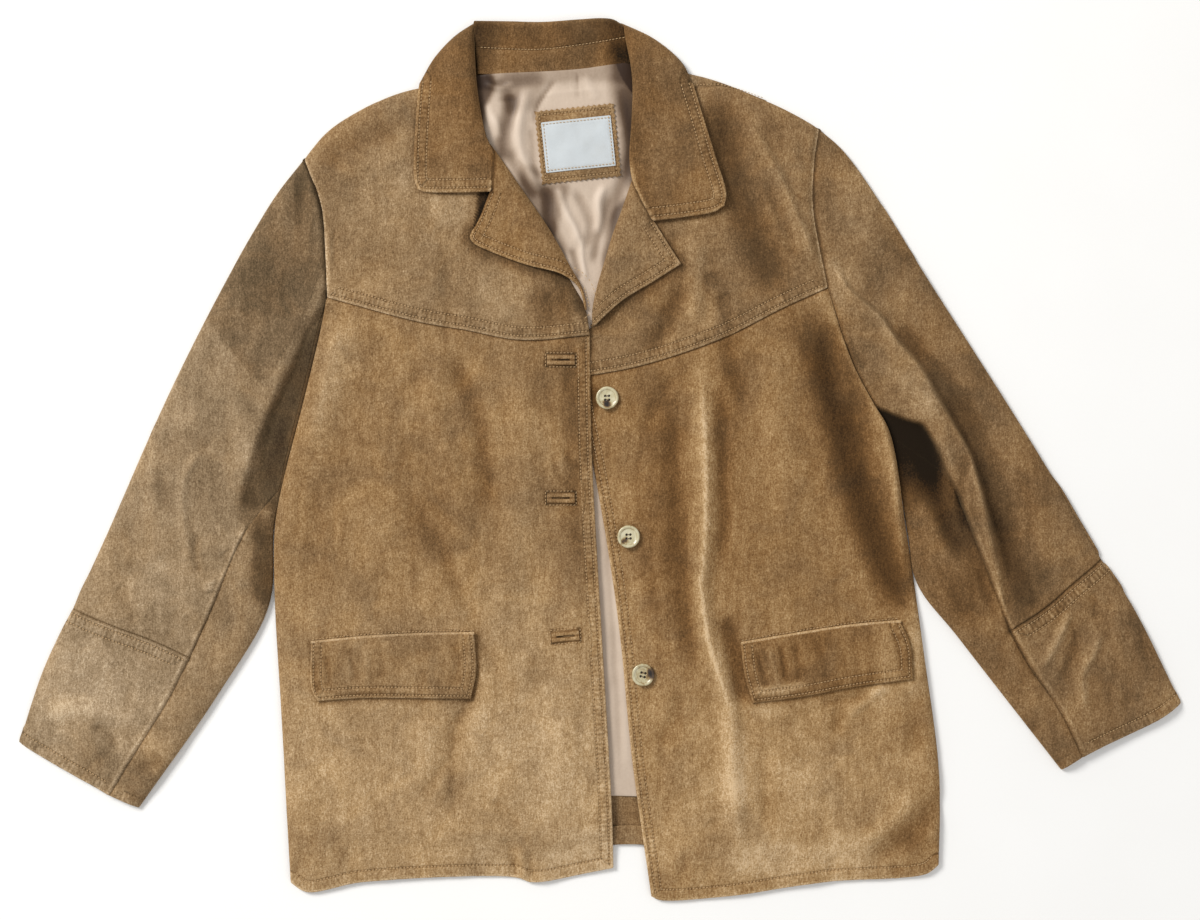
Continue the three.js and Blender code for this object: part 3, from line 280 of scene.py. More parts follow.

# ------------------------------------------------------------------------------------------ folds
# Each fold: its course from start to end, its height, its widths to the left and the right of the course, how
# sharp it is, from 0 for a round top to 1 for a crisp one, and its stops of light, the light and shade
# painted along it.

FOLDS = {
    "left": [
        ([(-134, 100), (-125, 72), (-112, 40), (-104, -10), (-98, -58)], -3.6, 16, 14, 0.2, -0.7),
        ([(-176, -12), (-169, -40), (-150, -72), (-137, -95), (-120, -130), (-104, -166), (-76, -226)], -3.0,
         12, 14, 0.4, -0.4),
        ([(-113, -172), (-117, -215), (-130, -242), (-133, -268), (-130, -330)], -2.8, 12, 12, 0.5, -0.5),
        ([(-135, -268), (-148, -286), (-162, -306)], -1.6, 9, 9, 0.3, -0.3),
        ([(-74, 100), (-70, 40), (-74, -50), (-84, -110), (-66, -150)], 2.6, 24, 22, 0, 0.15),
        ([(-150, 96), (-146, 40), (-128, -30), (-118, -84)], 2.4, 16, 22, 0, 0.1),
        ([(-232, 132), (-244, 80), (-256, 30), (-262, 0)], 2.6, 26, 10, 0.1, 0.45),
        ([(-205, 60), (-196, 0), (-200, -60), (-190, -120)], 1.6, 30, 30, 0, 0.05),
        ([(-152, -232), (-157, -256), (-154, -284)], 1.8, 14, 14, 0, 0.25),
        ([(-108, -222), (-112, -244), (-108, -270)], 1.5, 12, 12, 0, 0.2),
        ([(-96, -304), (-86, -318), (-72, -330)], -1.8, 9, 9, 0.2, -0.35),
        ([(-86, -340), (-79, -356), (-74, -378)], -2.2, 8, 8, 0.2, -0.4),
        ([(-66, -352), (-62, -366), (-60, -380)], -1.6, 7, 7, 0.2, -0.35),
        ([(-70, -350), (-69, -366), (-67, -380)], 1.6, 8, 8, 0.2, 0.3),
        ([(-27, 150), (-27, 90), (-25, 20), (-21, -60), (-15, -126)], -1.4, 8, 14, 0.1, -0.6),
        ([(-38, 2), (-30, -8), (-20, -18)], 1.5, 5, 5, 0.4, 0.35),
        ([(-33, 10), (-25, -2), (-17, -10)], -1.3, 4, 5, 0.4, -0.4),
        ([(-44, -4), (-36, -15), (-28, -26)], -1.2, 4, 5, 0.4, -0.35),
        ([(-240, -16), (-241, -44), (-239, -76)], -1.2, 7, 7, 0.3, -0.22),
        ([(-256, -10), (-255, -60), (-258, -130)], -1.2, 16, 14, 0, -0.2),
        ([(-222, -250), (-205, -285), (-196, -330)], -1.3, 16, 16, 0, -0.15),
        ([(-262, -300), (-240, -340), (-215, -366)], -1.4, 20, 18, 0, -0.18),
        ([(-40, -180), (-34, -240), (-42, -330)], 1.3, 24, 24, 0, 0.05),
        ([(-62, -176), (-60, -205), (-74, -236)], -1.0, 16, 12, 0, -0.15),
        ([(-176, 118), (-168, 92), (-160, 60)], -0.9, 7, 7, 0.2, -0.12),
        # the yoke
        ([(-252, 262), (-238, 272), (-212, 286), (-180, 296)], -1.8, 16, 20, 0, -0.35),
        ([(-205, 272), (-180, 258), (-150, 232), (-124, 214)], 1.8, 20, 24, 0, 0.25),
        ([(-140, 190), (-136, 150), (-134, 104)], -1.6, 14, 12, 0, -0.25),
        ([(-112, 176), (-98, 148), (-80, 122)], 1.5, 18, 18, 0, 0.25),
        ([(-60, 158), (-46, 136), (-40, 112)], -1.5, 14, 14, 0, -0.25),
        ([(-246, 208), (-245, 180), (-245, 152)], 1.2, 6, 5, 0.2, 0.3),
        ([(-238, 210), (-239, 190), (-238, 172)], -0.9, 5, 5, 0.2, -0.2),
    ],
    "right": [
        ([(91, 92), (92, 50), (94, 20), (94.5, -20), (94, -60), (92.5, -90), (90.5, -116), (96, -158),
         (107, -195), (114, -218), (118, -240)], 0.9, 3.4, 3.0, 0.4, 1.15),
        ([(36, -30), (40, -60), (44, -110), (52, -150)], -0.8, 12, 12, 0, -0.25),
        ([(124, -230), (130, -290), (136, -350), (138, -390)], 1.0, 14, 22, 0, 0.12),
        ([(91, 100), (92, 50), (94, 20), (95, -20), (94.5, -60), (93, -90), (91, -116), (97, -158),
         (108, -195), (116, -222), (119, -280), (124, -340), (125, -386)], 5.0, 14, 18, 0.3, 0.7),
        ([(64, 60), (67, -8), (70, -60), (73, -110), (80, -160), (90, -206)], -3.0, 13, 18, 0, -0.85),
        ([(66, 78), (52, 48), (38, 18)], -2.0, 12, 12, 0.1, -0.35),
        ([(112, 112), (119, 78), (133, 46)], -3.0, 13, 11, 0.1, -0.5),
        ([(108, 66), (110, 20), (111, -20), (112, -66), (108, -100)], -2.4, 9, 9, 0.1, -0.9),
        ([(114, -138), (120, -172), (131, -226)], -3.6, 12, 11, 0.1, -1.3),
        ([(184, 144), (199, 92), (212, 42), (226, -8), (240, -54), (258, -98), (281, -154)], -5.4, 34, 27, 0,
         -1.6),
        ([(206, 152), (224, 100), (247, 52), (261, 8), (269, -60), (276, -120)], 3.0, 8, 8, 0.2, 0.65),
        ([(154, 118), (158, 60), (164, 0), (180, -80)], 2.6, 28, 22, 0, 0.2),
        ([(150, -252), (148, -290), (152, -336)], -2.0, 12, 12, 0, -0.3),
        ([(58, -232), (56, -256), (58, -284)], -1.6, 9, 9, 0, -0.3),
        ([(74, -210), (66, -240), (60, -260)], -1.8, 12, 12, 0, -0.3),
        ([(276, -206), (284, -240), (276, -276)], -2.0, 13, 13, 0, -0.35),
        ([(304, -296), (292, -326), (262, -352), (238, -362)], -3.0, 14, 18, 0, -0.6),
        ([(282, -300), (262, -326), (236, -344)], 2.0, 12, 12, 0, 0.25),
        ([(258, -203), (240, -216), (222, -232)], 2.6, 7, 8, 0.5, 0.45),
        ([(248, -212), (226, -216), (196, -220)], -2.0, 6, 8, 0.3, -0.5),
        ([(218, -214), (214, -232), (212, -250)], -2.0, 9, 9, 0, -0.4),
        ([(140, -180), (160, -250), (200, -320)], 1.4, 30, 30, 0, 0.1),
        ([(28, -20), (34, -90), (46, -160)], 1.0, 14, 14, 0, 0.05),
        ([(106, -322), (96, -334)], -1.0, 6, 6, 0, -0.25),
        ([(78, -352), (74, -372), (72, -386)], -1.5, 7, 7, 0, -0.3),
        ([(100, -356), (98, -378)], -1.2, 6, 6, 0, -0.2),
        ([(212, -356), (208, -374)], -1.2, 7, 7, 0, -0.2),
        ([(270, -366), (262, -374)], -1.2, 9, 9, 0, -0.4),
        ([(196, 156), (204, 138), (214, 118)], 1.4, 8, 8, 0.2, 0.3),
        # the yoke
        ([(97, 332), (111, 284), (126, 234), (144, 188), (166, 136)], -4.2, 27, 26, 0, -1.45),
        ([(131, 310), (146, 282), (160, 256), (174, 224), (186, 196), (194, 172)], 4.2, 9, 14, 0.6, 0.55),
        ([(150, 256), (158, 230), (168, 206), (176, 176)], -2.4, 8, 8, 0.1, -0.25),
        ([(88, 205), (86, 160), (84, 118)], 2.6, 13, 13, 0, 0.35),
        ([(76, 160), (66, 140), (56, 116), (40, 92)], -2.2, 14, 13, 0, -0.85),
        ([(108, 150), (114, 132), (120, 112)], -2.0, 10, 10, 0, -0.4),
        ([(30, 128), (24, 106), (22, 90)], 1.0, 10, 10, 0, 0.1),
        ([(70, 206), (66, 190), (74, 176)], -1.2, 10, 10, 0, -0.3),
        ([(180, 290), (186, 256), (190, 226)], -0.8, 8, 8, 0, -0.15),
    ],
    "sleeve_left": [
        ([(-250, 140), (-262, 100), (-280, 46), (-294, -6), (-299, -44)], -6.0, 18, 20, 0.05, -1.1),
        ([(-262, 118), (-292, 58), (-320, -20), (-326, -60)], 2.4, 9, 26, 0.3, 0.1),
        ([(-308, -56), (-316, -64), (-322, -74)], 2.6, 10, 10, 0, 0.6),
        ([(-268, 262), (-269, 232), (-268, 204)], -2.0, 9, 8, 0.1, -0.4),
        ([(-308, -42), (-319.5, -67.5), (-351, -139.5), (-369, -179), (-376, -194)], -1.0, 2.0, 2.0, 0.4,
         -0.75),
        ([(-491, -128), (-475, -135), (-443.7, -148.5), (-402.3, -163.8), (-369, -179.1), (-354, -186)],
         -1.0, 1.6, 1.6, 0.4, -0.7),
        ([(-360, -160), (-369, -179), (-388.8, -218.7), (-413, -257), (-441, -303), (-450, -316)], -0.8, 1.8,
         1.8, 0.4, -0.45),
        ([(-363.5, -158), (-372.5, -177), (-392, -217), (-416, -255.5), (-444, -301), (-453, -314)], 0.5,
         2.4, 2.4, 0.3, 0.7),
        ([(-318, -56), (-323, -67.5), (-354, -138), (-372, -177)], 0.6, 3, 2.6, 0.3, 0.4),
        ([(-258, 250), (-251, 218)], 1.2, 5, 8, 0, 0.2),
        ([(-392, -4), (-394, -26), (-390, -50)], -2.0, 10, 9, 0.1, -0.35),
        ([(-352, 12), (-372, -14), (-374, -56), (-366, -96)], 2.2, 7, 9, 0.4, 0.25),
        ([(-362, -66), (-364, -84), (-360, -106)], -2.2, 6, 5, 0.2, -0.45),
        ([(-352, -108), (-350, -120)], 2.2, 10, 10, 0, 0.5),
        ([(-340, -84), (-332, -98)], -1.4, 6, 7, 0.1, -0.3),
        ([(-436, -58), (-424, -84), (-414, -110)], -1.5, 18, 18, 0, -0.3),
        ([(-432, -110), (-428, -134), (-416, -150)], -1.8, 12, 12, 0.1, -0.35),
        ([(-380, 62), (-366, 66), (-352, 54)], -1.0, 9, 9, 0, -0.2),
        ([(-410, 20), (-384, 30), (-350, 34)], 1.2, 14, 14, 0, 0.12),
        ([(-360, 130), (-330, 101), (-302, 66)], 0.6, 5, 5, 0.5, 0.05),
        ([(-300, 200), (-330, 130), (-340, 110)], 1.2, 24, 24, 0, 0),
        ([(-372, -140), (-362, -150), (-352, -140)], -1.2, 9, 9, 0, -0.2),
        # the cuff
        ([(-456, -238), (-444, -248), (-434, -264)], -2.2, 8, 8, 0.3, -0.6),
        ([(-470, -288), (-458, -276), (-440, -262)], -1.4, 8, 8, 0.2, -0.3),
        ([(-418, -280), (-404, -276), (-392, -268)], -1.8, 10, 8, 0.1, -0.4),
        ([(-506, -232), (-480, -226), (-444, -230), (-410, -240)], 1.8, 12, 12, 0.1, 0.3),
        ([(-390, -204), (-372, -210)], -1.4, 10, 10, 0, -0.35),
        ([(-440, -180), (-425, -205), (-430, -228)], -1.0, 10, 10, 0, -0.12),
        ([(-484, -168), (-470, -200)], 1.0, 12, 12, 0, 0.12),
        ([(-512, -262), (-492, -258), (-470, -264)], -0.8, 8, 8, 0, -0.2),
    ],
    "sleeve_right": [
        ([(204, 180), (225, 150), (250, 128), (265, 106), (287, 80), (302, 53), (319, 25), (330, 5),
         (339, -27), (347, -56), (354, -86), (361, -108), (370, -132)], 8.6, 5, 42, 0.7, 0.35),
        ([(250, 134), (267, 114), (291, 86), (309, 56), (324, 28), (337, 2), (348, -34), (359, -70),
         (368, -104), (374, -130)], -3.2, 19, 5, 0.3, -1.25),
        ([(301, 26), (310, 6), (320, -17)], 1.4, 6, 6, 0.3, 0.4),
        ([(328, 10), (326, -16), (324, -40), (332, -70)], -1.6, 5, 7, 0.2, -0.75),
        ([(308, -8), (319, -27), (326, -46), (345, -95), (369, -154.8), (384, -182)], -1.0, 2.4, 2.4, 0.4,
         -1.2),
        ([(312, -8), (323, -28), (330, -46), (349, -95), (372.5, -154), (388, -180)], 0.6, 2.6, 3, 0.3, 0.6),
        ([(466, -77), (451.8, -90.5), (424.8, -113.4), (399.6, -135), (369, -154.8), (354, -164)], -1.0, 1.8,
         1.8, 0.4, -1.2),
        ([(361, -138), (369, -154.8), (389.7, -191.7), (411.3, -222.3), (434, -268), (441, -283)], -0.9, 2.2,
         2.2, 0.4, -0.9),
        ([(364.5, -138), (372.5, -154), (393, -190.5), (414.6, -221), (437, -267), (444, -282)], 0.5, 2.4,
         2.4, 0.3, 0.5),
        ([(276, 40), (284, 18), (293, -4), (301, -28), (310, -56), (326, -96)], -3.0, 17, 13, 0, -1.35),
        ([(244, 92), (262, 78), (286, 58), (306, 30), (316, -6)], 2.4, 8, 14, 0, 0.35),
        ([(204, 184), (214, 168), (222, 152)], 2.2, 8, 8, 0.2, 0.5),
        ([(236, 132), (248, 112), (262, 98)], -1.4, 8, 8, 0, -0.25),
        ([(224, 108), (230, 92), (240, 80)], -1.6, 6, 6, 0.1, -0.45),
        ([(316, -20), (326, -50), (338, -92), (350, -126), (358, -150)], -3.0, 9, 9, 0.2, -0.8),
        ([(330, -2), (340, -36), (348, -80), (358, -112), (364, -148)], 2.6, 6, 7, 0.5, 0.45),
        ([(284, -26), (302, -66), (322, -106), (346, -148)], 3.0, 14, 14, 0, 0.4),
        ([(250, 232), (262, 206), (284, 170)], -1.6, 16, 14, 0, -0.25),
        ([(270, 120), (282, 108), (292, 104)], -1.6, 8, 8, 0, -0.3),
        ([(390, -20), (400, -60), (414, -100)], 1.4, 22, 22, 0, 0.12),
        ([(352, 48), (372, 10), (388, -20)], 1.0, 16, 16, 0, 0.1),
        # the cuff
        ([(424, -134), (411, -162), (396, -190)], 3.0, 7, 8, 0.5, 0.95),
        ([(450, -150), (444, -172), (433, -194), (436, -226)], 3.0, 7, 8, 0.4, 0.85),
        ([(430, -150), (424, -176), (414, -204)], -2.2, 8, 7, 0.1, -0.75),
        ([(440, -118), (446, -134), (448, -146)], -1.8, 8, 8, 0, -0.45),
        ([(372, -164), (384, -184), (396, -200)], -2.0, 7, 6, 0.2, -0.45),
        ([(478, -132), (486, -160), (498, -200)], -1.8, 10, 9, 0, -0.4),
        ([(462, -124), (466, -160), (474, -196)], 1.4, 9, 9, 0, 0.2),
        ([(456, -196), (460, -224)], -1.4, 6, 6, 0, -0.3),
        ([(470, -202), (478, -222)], -1.4, 6, 6, 0, -0.3),
        ([(370, -238), (384, -242), (396, -240)], -2.2, 9, 9, 0, -0.6),
        ([(386, -212), (398, -226)], 1.2, 9, 9, 0, 0.1),
    ],
    "flap_left": [
        ([(-246, -174), (-244, -190), (-243, -206)], -0.9, 4, 5, 0.2, -0.3),
        ([(-226, -168), (-222, -184), (-220, -202)], -0.9, 5, 4, 0.2, -0.35),
        ([(-212, -166), (-209, -186), (-210, -204)], 0.8, 5, 5, 0.2, 0.25),
        ([(-198, -168), (-195, -186), (-197, -200)], -0.8, 5, 6, 0, -0.25),
        ([(-166, -166), (-160, -184), (-162, -206)], -0.6, 9, 9, 0, -0.2),
        ([(-132, -164), (-128, -184), (-130, -204)], -0.7, 7, 7, 0, -0.2),
        ([(-256, -180), (-255, -198), (-250, -212)], -0.9, 5, 5, 0, -0.4),
        ([(-240, -212), (-200, -211), (-160, -212)], -0.5, 4, 4, 0, -0.3),
    ],
    "flap_right": [
        ([(140, -170), (144, -186), (150, -206)], -1.0, 4, 5, 0.2, -0.5),
        ([(150, -166), (155, -184), (160, -204)], 0.8, 4, 4, 0.2, 0.35),
        ([(160, -164), (164, -182), (166, -200)], -1.2, 4, 4, 0.3, -0.7),
        ([(174, -162), (178, -182), (180, -202)], -1.0, 7, 6, 0.1, -0.45),
        ([(192, -160), (200, -182), (204, -202)], -0.7, 7, 7, 0, -0.3),
        ([(232, -156), (240, -176), (242, -196)], 0.6, 10, 10, 0, 0.15),
        ([(134, -208), (152, -208), (172, -205), (190, -201)], 0.3, 8, 8, 0, 0.7),
        ([(262, -152), (268, -172), (270, -192)], -0.8, 5, 5, 0, -0.35),
        ([(252, -140), (256, -172), (260, -208)], 0.2, 20, 16, 0, 0.45),
    ],
    "lining": [
        ([(-103, 322), (-99, 310), (-93, 299), (-92, 286)], 2.4, 6, 7, 0.1, 0.5),
        ([(-80, 334), (-82, 312), (-88, 290), (-88, 262)], -1.8, 13, 11, 0, -0.85),
        ([(-92, 343), (-86, 330), (-84, 320)], -1.2, 10, 10, 0, -0.4),
        ([(-62, 338), (-68, 322), (-73, 300), (-72, 280), (-64, 259), (-54, 238)], 2.8, 8, 8, 0.1, 0.45),
        ([(-80, 282), (-76, 262), (-64, 244), (-56, 232)], -1.6, 8, 8, 0, -0.4),
        ([(-40, 342), (-47, 332), (-56, 318), (-60, 300)], -1.4, 4, 4, 0.4, -0.55),
        ([(-62, 300), (-60, 280), (-58, 262), (-50, 250)], -1.6, 5, 5, 0.1, -0.6),
        ([(-54, 250), (-48, 234), (-47, 216), (-40, 200), (-28, 176)], -2.0, 10, 8, 0, -0.6),
        ([(-36, 250), (-35, 234), (-29, 219), (-22, 206), (-18, 190)], 2.8, 6, 7, 0.1, 0.5),
        ([(-24, 246), (-18, 234), (-12, 222), (-8, 210), (-10, 198), (-14, 188)], -1.6, 7, 7, 0, -0.4),
        ([(6, 250), (-1, 232), (0, 216), (-4, 200)], 2.4, 6, 7, 0.1, 0.5),
        ([(-16, 200), (-16, 182), (-12, 160)], 1.8, 4, 5, 0.1, 0.5),
        ([(-26, 192), (-22, 176), (-18, 160)], -1.2, 5, 5, 0, -0.5),
        ([(10, 242), (3, 220), (-2, 200), (-6, 172)], -1.4, 6, 7, 0, -0.5),
        ([(20, 342), (24, 310), (26, 280), (20, 250), (10, 218), (2, 190)], -1.8, 10, 10, 0, -0.6),
        ([(-20, 349), (-20.5, 336), (-20, 322)], -0.8, 1.6, 3, 0.4, -0.3),
        ([(-14, 346), (-8, 332), (-2, 322)], 1.2, 7, 7, 0, 0.15),
        ([(-104, 338), (-90, 334), (-76, 339)], 1.4, 3, 4, 0.2, 0.3),
        ([(-58, 327), (-30, 330), (6, 333)], 0.6, 2.5, 2.5, 0.3, 0.15),
        ([(22, 300), (14, 290), (12, 270)], 1.0, 5, 5, 0, 0.2),
        ([(12, -40), (14, -100), (20, -180), (26, -290)], 1.2, 5, 6, 0, 0.1),
        ([(2, -40), (8, -110), (14, -200), (18, -300)], -0.9, 4, 4, 0, -0.15),
    ],
}

# Patches of lighter and darker nap, and of painted light and shade, each an ellipse: x and y of its centre,
# its half width and half length, its turn in degrees, and its stops of light.
NAP_AND_SHADING = {
    "left": [
        (-238, 84, 22, 56, -12, 0.35), (-60, -250, 60, 90, 0, 0.25), (-30, -300, 40, 60, 0, 0.2),
        (-44, 74, 26, 44, 0, -0.3), (-40, -40, 22, 40, 0, -0.15), (-210, 0, 40, 50, 0, -0.1),
        (-150, -20, 50, 60, 0, -0.15), (-200, -290, 70, 70, 0, 0.1), (-100, -140, 60, 24, 20, 0.15),
        (-60, 230, 30, 60, 30, -0.1), (-130, 230, 32, 26, 0, 0.25), (-205, 240, 36, 40, 0, 0.2),
        (-225, 290, 40, 18, 30, -0.3), (-160, 150, 40, 26, 0, 0.1), (-90, 140, 26, 30, 0, 0.15),
        (-160, 310, 20, 16, 0, -0.25), (-200, 180, 24, 18, 0, -0.15), (-268, -350, 18, 30, 0, -0.2),
        (-50, 135, 22, 24, 0, -0.3), (-250, -250, 30, 60, 0, 0.1), (0, -350, 34, 26, 0, 0.5),
        (-38, 141, 26, 20, 30, -0.9), (-60, -150, 60, 60, 0, 0.15), (-104, -352, 24, 22, 0, 0.35),
        (-16, 60, 10, 100, 0, -0.5), (-44, -362, 20, 20, 0, 0.5), (-14, 143, 10, 14, 0, -0.4),
        (-230, 251, 22, 20, 0, -0.3), (-150, -60, 28, 34, 0, -0.22), (-62, -60, 24, 40, 0, 0.22),
    ],
    "right": [
        (60, -60, 24, 110, 4, -0.3), (150, 60, 30, 60, 4, 0.1), (60, 40, 40, 40, 0, -0.15),
        (20, -110, 16, 90, 6, 0.25), (-5, 54, 6, 11, 0, -1.2), (30, 10, 20, 40, 0, 0.1),
        (180, -90, 50, 50, 0, 0.05), (150, -310, 70, 60, 0, 0.25), (220, -290, 60, 50, 0, 0.2),
        (60, -330, 40, 50, 0, 0.15), (120, -250, 20, 60, 0, 0.1), (100, 162, 7, 7, 0, -0.7),
        (104, 150, 12, 10, 0, -0.25), (70, 250, 30, 50, 0, 0.05), (40, 120, 50, 26, 20, -0.15),
        (182, 270, 24, 30, 0, 0.1), (206, 140, 18, 16, 0, 0.35), (190, -180, 22, 22, 0, -0.2),
        (285, -350, 30, 24, 40, -0.4), (200, -130, 60, 16, 10, -0.1), (118, 300, 16, 30, 20, -0.3),
        (180, -362, 96, 22, 4, 0.75), (281, -176, 14, 50, 0, 0.6), (286, -166, 12, 40, 0, 0.2),
        (92, 50, 12, 46, 0, 0.3), (118, 60, 14, 90, 0, -0.35), (156, 225, 20, 60, 20, -0.2),
        (62, 150, 34, 26, 30, -0.3), (200, -208, 30, 20, 0, 0.1), (256, -190, 16, 34, 0, 0.4),
        (152, 282, 20, 26, 0, -0.3), (150, -224, 20, 9, 6, 0.6), (233, 36, 14, 26, 0, -0.5),
    ],
    "sleeve_left": [
        (-286, 176, 40, 60, 28, -0.35), (-300, 150, 26, 30, 35, -0.2), (-264, 240, 22, 40, 0, -0.35),
        (-300, 40, 18, 60, 22, -0.3), (-380, 60, 30, 40, 20, 0.15), (-400, -20, 30, 40, 20, 0.1),
        (-470, -200, 40, 40, 20, 0.35), (-420, -215, 40, 26, 10, 0.2), (-400, -120, 40, 30, 0, 0.1),
        (-452, -272, 26, 20, 20, -0.3), (-400, -290, 30, 24, 0, -0.15), (-330, -150, 24, 40, 25, -0.15),
        (-500, -246, 24, 16, 20, 0.3), (-350, 0, 30, 50, 20, -0.1), (-304, -90, 10, 40, 20, -0.5),
        (-314, 0, 10, 24, 25, 0.3), (-484, -262, 26, 14, -20, 0.3), (-312, -52, 11, 28, 20, -0.8),
        (-306, -110, 14, 28, 20, -0.6), (-400, -108, 34, 26, 20, 0.2),
    ],
    "sleeve_right": [
        (240, 220, 34, 50, -30, 0.45), (214, 160, 22, 30, -20, 0.5), (262, 130, 26, 40, -30, 0.3),
        (290, 60, 22, 30, -30, 0.35), (290, 140, 30, 40, -30, -0.05), (330, 40, 26, 60, -30, -0.2),
        (380, -50, 26, 60, -25, -0.35), (372, -110, 18, 30, -20, -0.5), (300, -70, 14, 50, 25, 0.25),
        (440, -180, 50, 50, 20, 0.2), (400, -240, 40, 30, 20, 0.1), (300, -20, 20, 20, 0, -0.3),
        (326, -122, 12, 34, 30, -0.55), (318, -60, 30, 80, 25, -0.4), (402, -136, 20, 20, 0, -0.4),
        (345, -60, 14, 50, 20, -0.3), (450, -180, 50, 50, 20, -0.35), (420, -60, 22, 40, -30, 0.05),
        (510, -215, 20, 14, -30, 0.15), (374, -240, 16, 12, 0, -0.4), (326, -124, 28, 26, 40, -0.5),
        (384, -122, 14, 34, -30, -0.6), (230, 105, 26, 30, -30, -0.15),
    ],
}

# Hollows and darker areas, each with an outline: its points, how soft its edge is, where it fades from and
# to, or None, its height, and its stops of light, painted shade in a hollow.
PITS = {
    "left": [
        ([(-110, 245), (-95, 245), (-102, 228), (-109, 214), (-113, 204), (-110.6, 226)], 1.4, None, -0.8,
         -3.0),
    ],
    "right": [
        ([(214, 62), (232, 20), (250, -40), (262, -90), (284, -150), (262, -120), (240, -70), (222, -20),
         (206, 30), (196, 90), (200, 110)], 14, None, -1.0, -0.6),
    ],
    "sleeve_left": [
        ([(-247, 150), (-258, 118), (-274, 88), (-296, 46), (-310, 6), (-321, -34), (-316, -45), (-298, -45),
         (-270, -52), (-230, 60), (-225, 150)], 9, None, -3.0, -1.0),
        ([(-318, -40), (-306, -44), (-292, -44), (-290, -20), (-300, 0), (-312, -16)], 8, None, 0, -0.3),
        ([(-356, 130), (-330, 96), (-303, 70), (-290, 84), (-262, 140), (-240, 200), (-250, 290),
         (-330, 290), (-400, 140)], 3, None, 0, -0.6),
        ([(-292, -46), (-300, -52), (-308, -70), (-312, -100), (-310, -124), (-298, -132), (-280, -120),
         (-280, -60)], 10, None, -0.5, -0.9),
        ([(-530, -232), (-490, -234), (-464, -236), (-450, -246), (-440, -262), (-424, -266), (-400, -262),
         (-390, -330), (-540, -270)], 3, None, 0, -0.22),
    ],
    "sleeve_right": [
        ([(236, 54), (248, 47), (258, 42.5), (271, 38), (283, 33.5), (290, 31.5), (297, 20), (303, 7),
         (309, -6), (315, -17), (321, -27), (330, -60), (345, -100), (330, -130), (300, -124), (262, -60),
         (240, 10)], 3, ((275, 20), (312, -140)), -4.0, -0.95),
        ([(236, 54), (248, 47), (258, 42.5), (271, 38), (283, 33.5), (290, 31.5), (297, 20), (303, 7),
         (307, -2), (304, -40), (268, -44), (240, 20)], 5, ((266, 26), (300, -56)), -1.5, -3.1),
        ([(296, 92), (320, 50), (341, 4), (352, -36), (364, -84), (378, -130), (392, -134), (384, -96),
         (372, -44), (362, -4), (340, 40), (312, 84)], 7, None, -1.0, -0.45),
    ],
    "lining": [
        ([(-116, 350), (-99, 346), (-95, 334), (-101, 320), (-105, 302), (-112, 292)], 8, None, 0, -1.3),
        ([(8, 362), (40, 362), (40, 300), (36, 240), (26, 246), (21, 262), (19, 290), (13, 320)], 16, None,
         0, -0.9),
        ([(11, 366), (40, 366), (40, 324), (31, 330), (21, 344)], 5, None, 0, -2.6),
        ([(-84, 345), (-54, 345), (-52, 325), (-60, 315), (-84, 315)], 12, None, 0, -0.45),
        ([(-72, 268), (-58, 262), (-52, 250), (-30, 246), (-34, 226), (-44, 200), (-70, 230)], 9, None, 0,
         -0.75),
        ([(24, 236), (14, 226), (8, 204), (2, 180), (10, 160), (40, 200)], 7, None, 0, -0.8),
        ([(-116, 352), (40, 356), (40, 342), (-20, 340), (-116, 336)], 8, None, 0, -0.45),
    ],
}

# ------------------------------------------------------------------------------------------ curves


def moved(points, dx, dy):
    return [(x + dx, y + dy) for x, y in points]


def ease(value, low, high):
    part = np.clip((value - low) / (high - low), 0, 1)
    return part * part * (3 - 2 * part)


def mix(low, high, part):
    return low + (high - low) * part


def cos_sin(degrees):
    return math.cos(math.radians(degrees)), math.sin(math.radians(degrees))


def unit(vectors):
    return vectors / np.linalg.norm(vectors, axis=-1, keepdims=True)


def west_first(side, outer, inner):
    """The outer and the inner one of two things on one half of the coat, in the order west, east."""
    return (outer, inner) if side == "left" else (inner, outer)


def smoothed(points, per=12):
    """A centripetal Catmull-Rom curve through the points, as the CAD has it."""
    p = np.array(points, float)
    ends = np.vstack([2 * p[0] - p[1], p, 2 * p[-1] - p[-2]])
    t = np.linspace(0, 1, per + 1)[1:, None]
    parts = [p[:1]]
    for p0, p1, p2, p3 in zip(ends, ends[1:], ends[2:], ends[3:]):
        a, b, c = (max(np.linalg.norm(q) ** 0.5, 1e-4) for q in (p1 - p0, p2 - p1, p3 - p2))
        leave = ((p1 - p0) / a - (p2 - p0) / (a + b) + (p2 - p1) / b) * b
        arrive = ((p2 - p1) / b - (p3 - p1) / (b + c) + (p3 - p2) / c) * b
        parts.append((2 * t**3 - 3 * t**2 + 1) * p1 + (t**3 - 2 * t**2 + t) * leave
                     + (3 * t**2 - 2 * t**3) * p2 + (t**3 - t**2) * arrive)
    return np.vstack(parts)


class Line:
    """A smooth line through x, y points, measured along its length."""

    def __init__(self, points):
        self.points = smoothed(points)
        steps = np.linalg.norm(np.diff(self.points, axis=0), axis=1)
        self.along = np.concatenate([[0], np.cumsum(steps)])
        self.length = self.along[-1]

    def at(self, part):
        s = np.asarray(part) * self.length
        return np.stack([np.interp(s, self.along, self.points[:, k]) for k in (0, 1)], -1)

    def tangent(self, part):
        step = 0.5 / self.length
        return unit(self.at(np.clip(part + step, 0, 1)) - self.at(np.clip(part - step, 0, 1)))


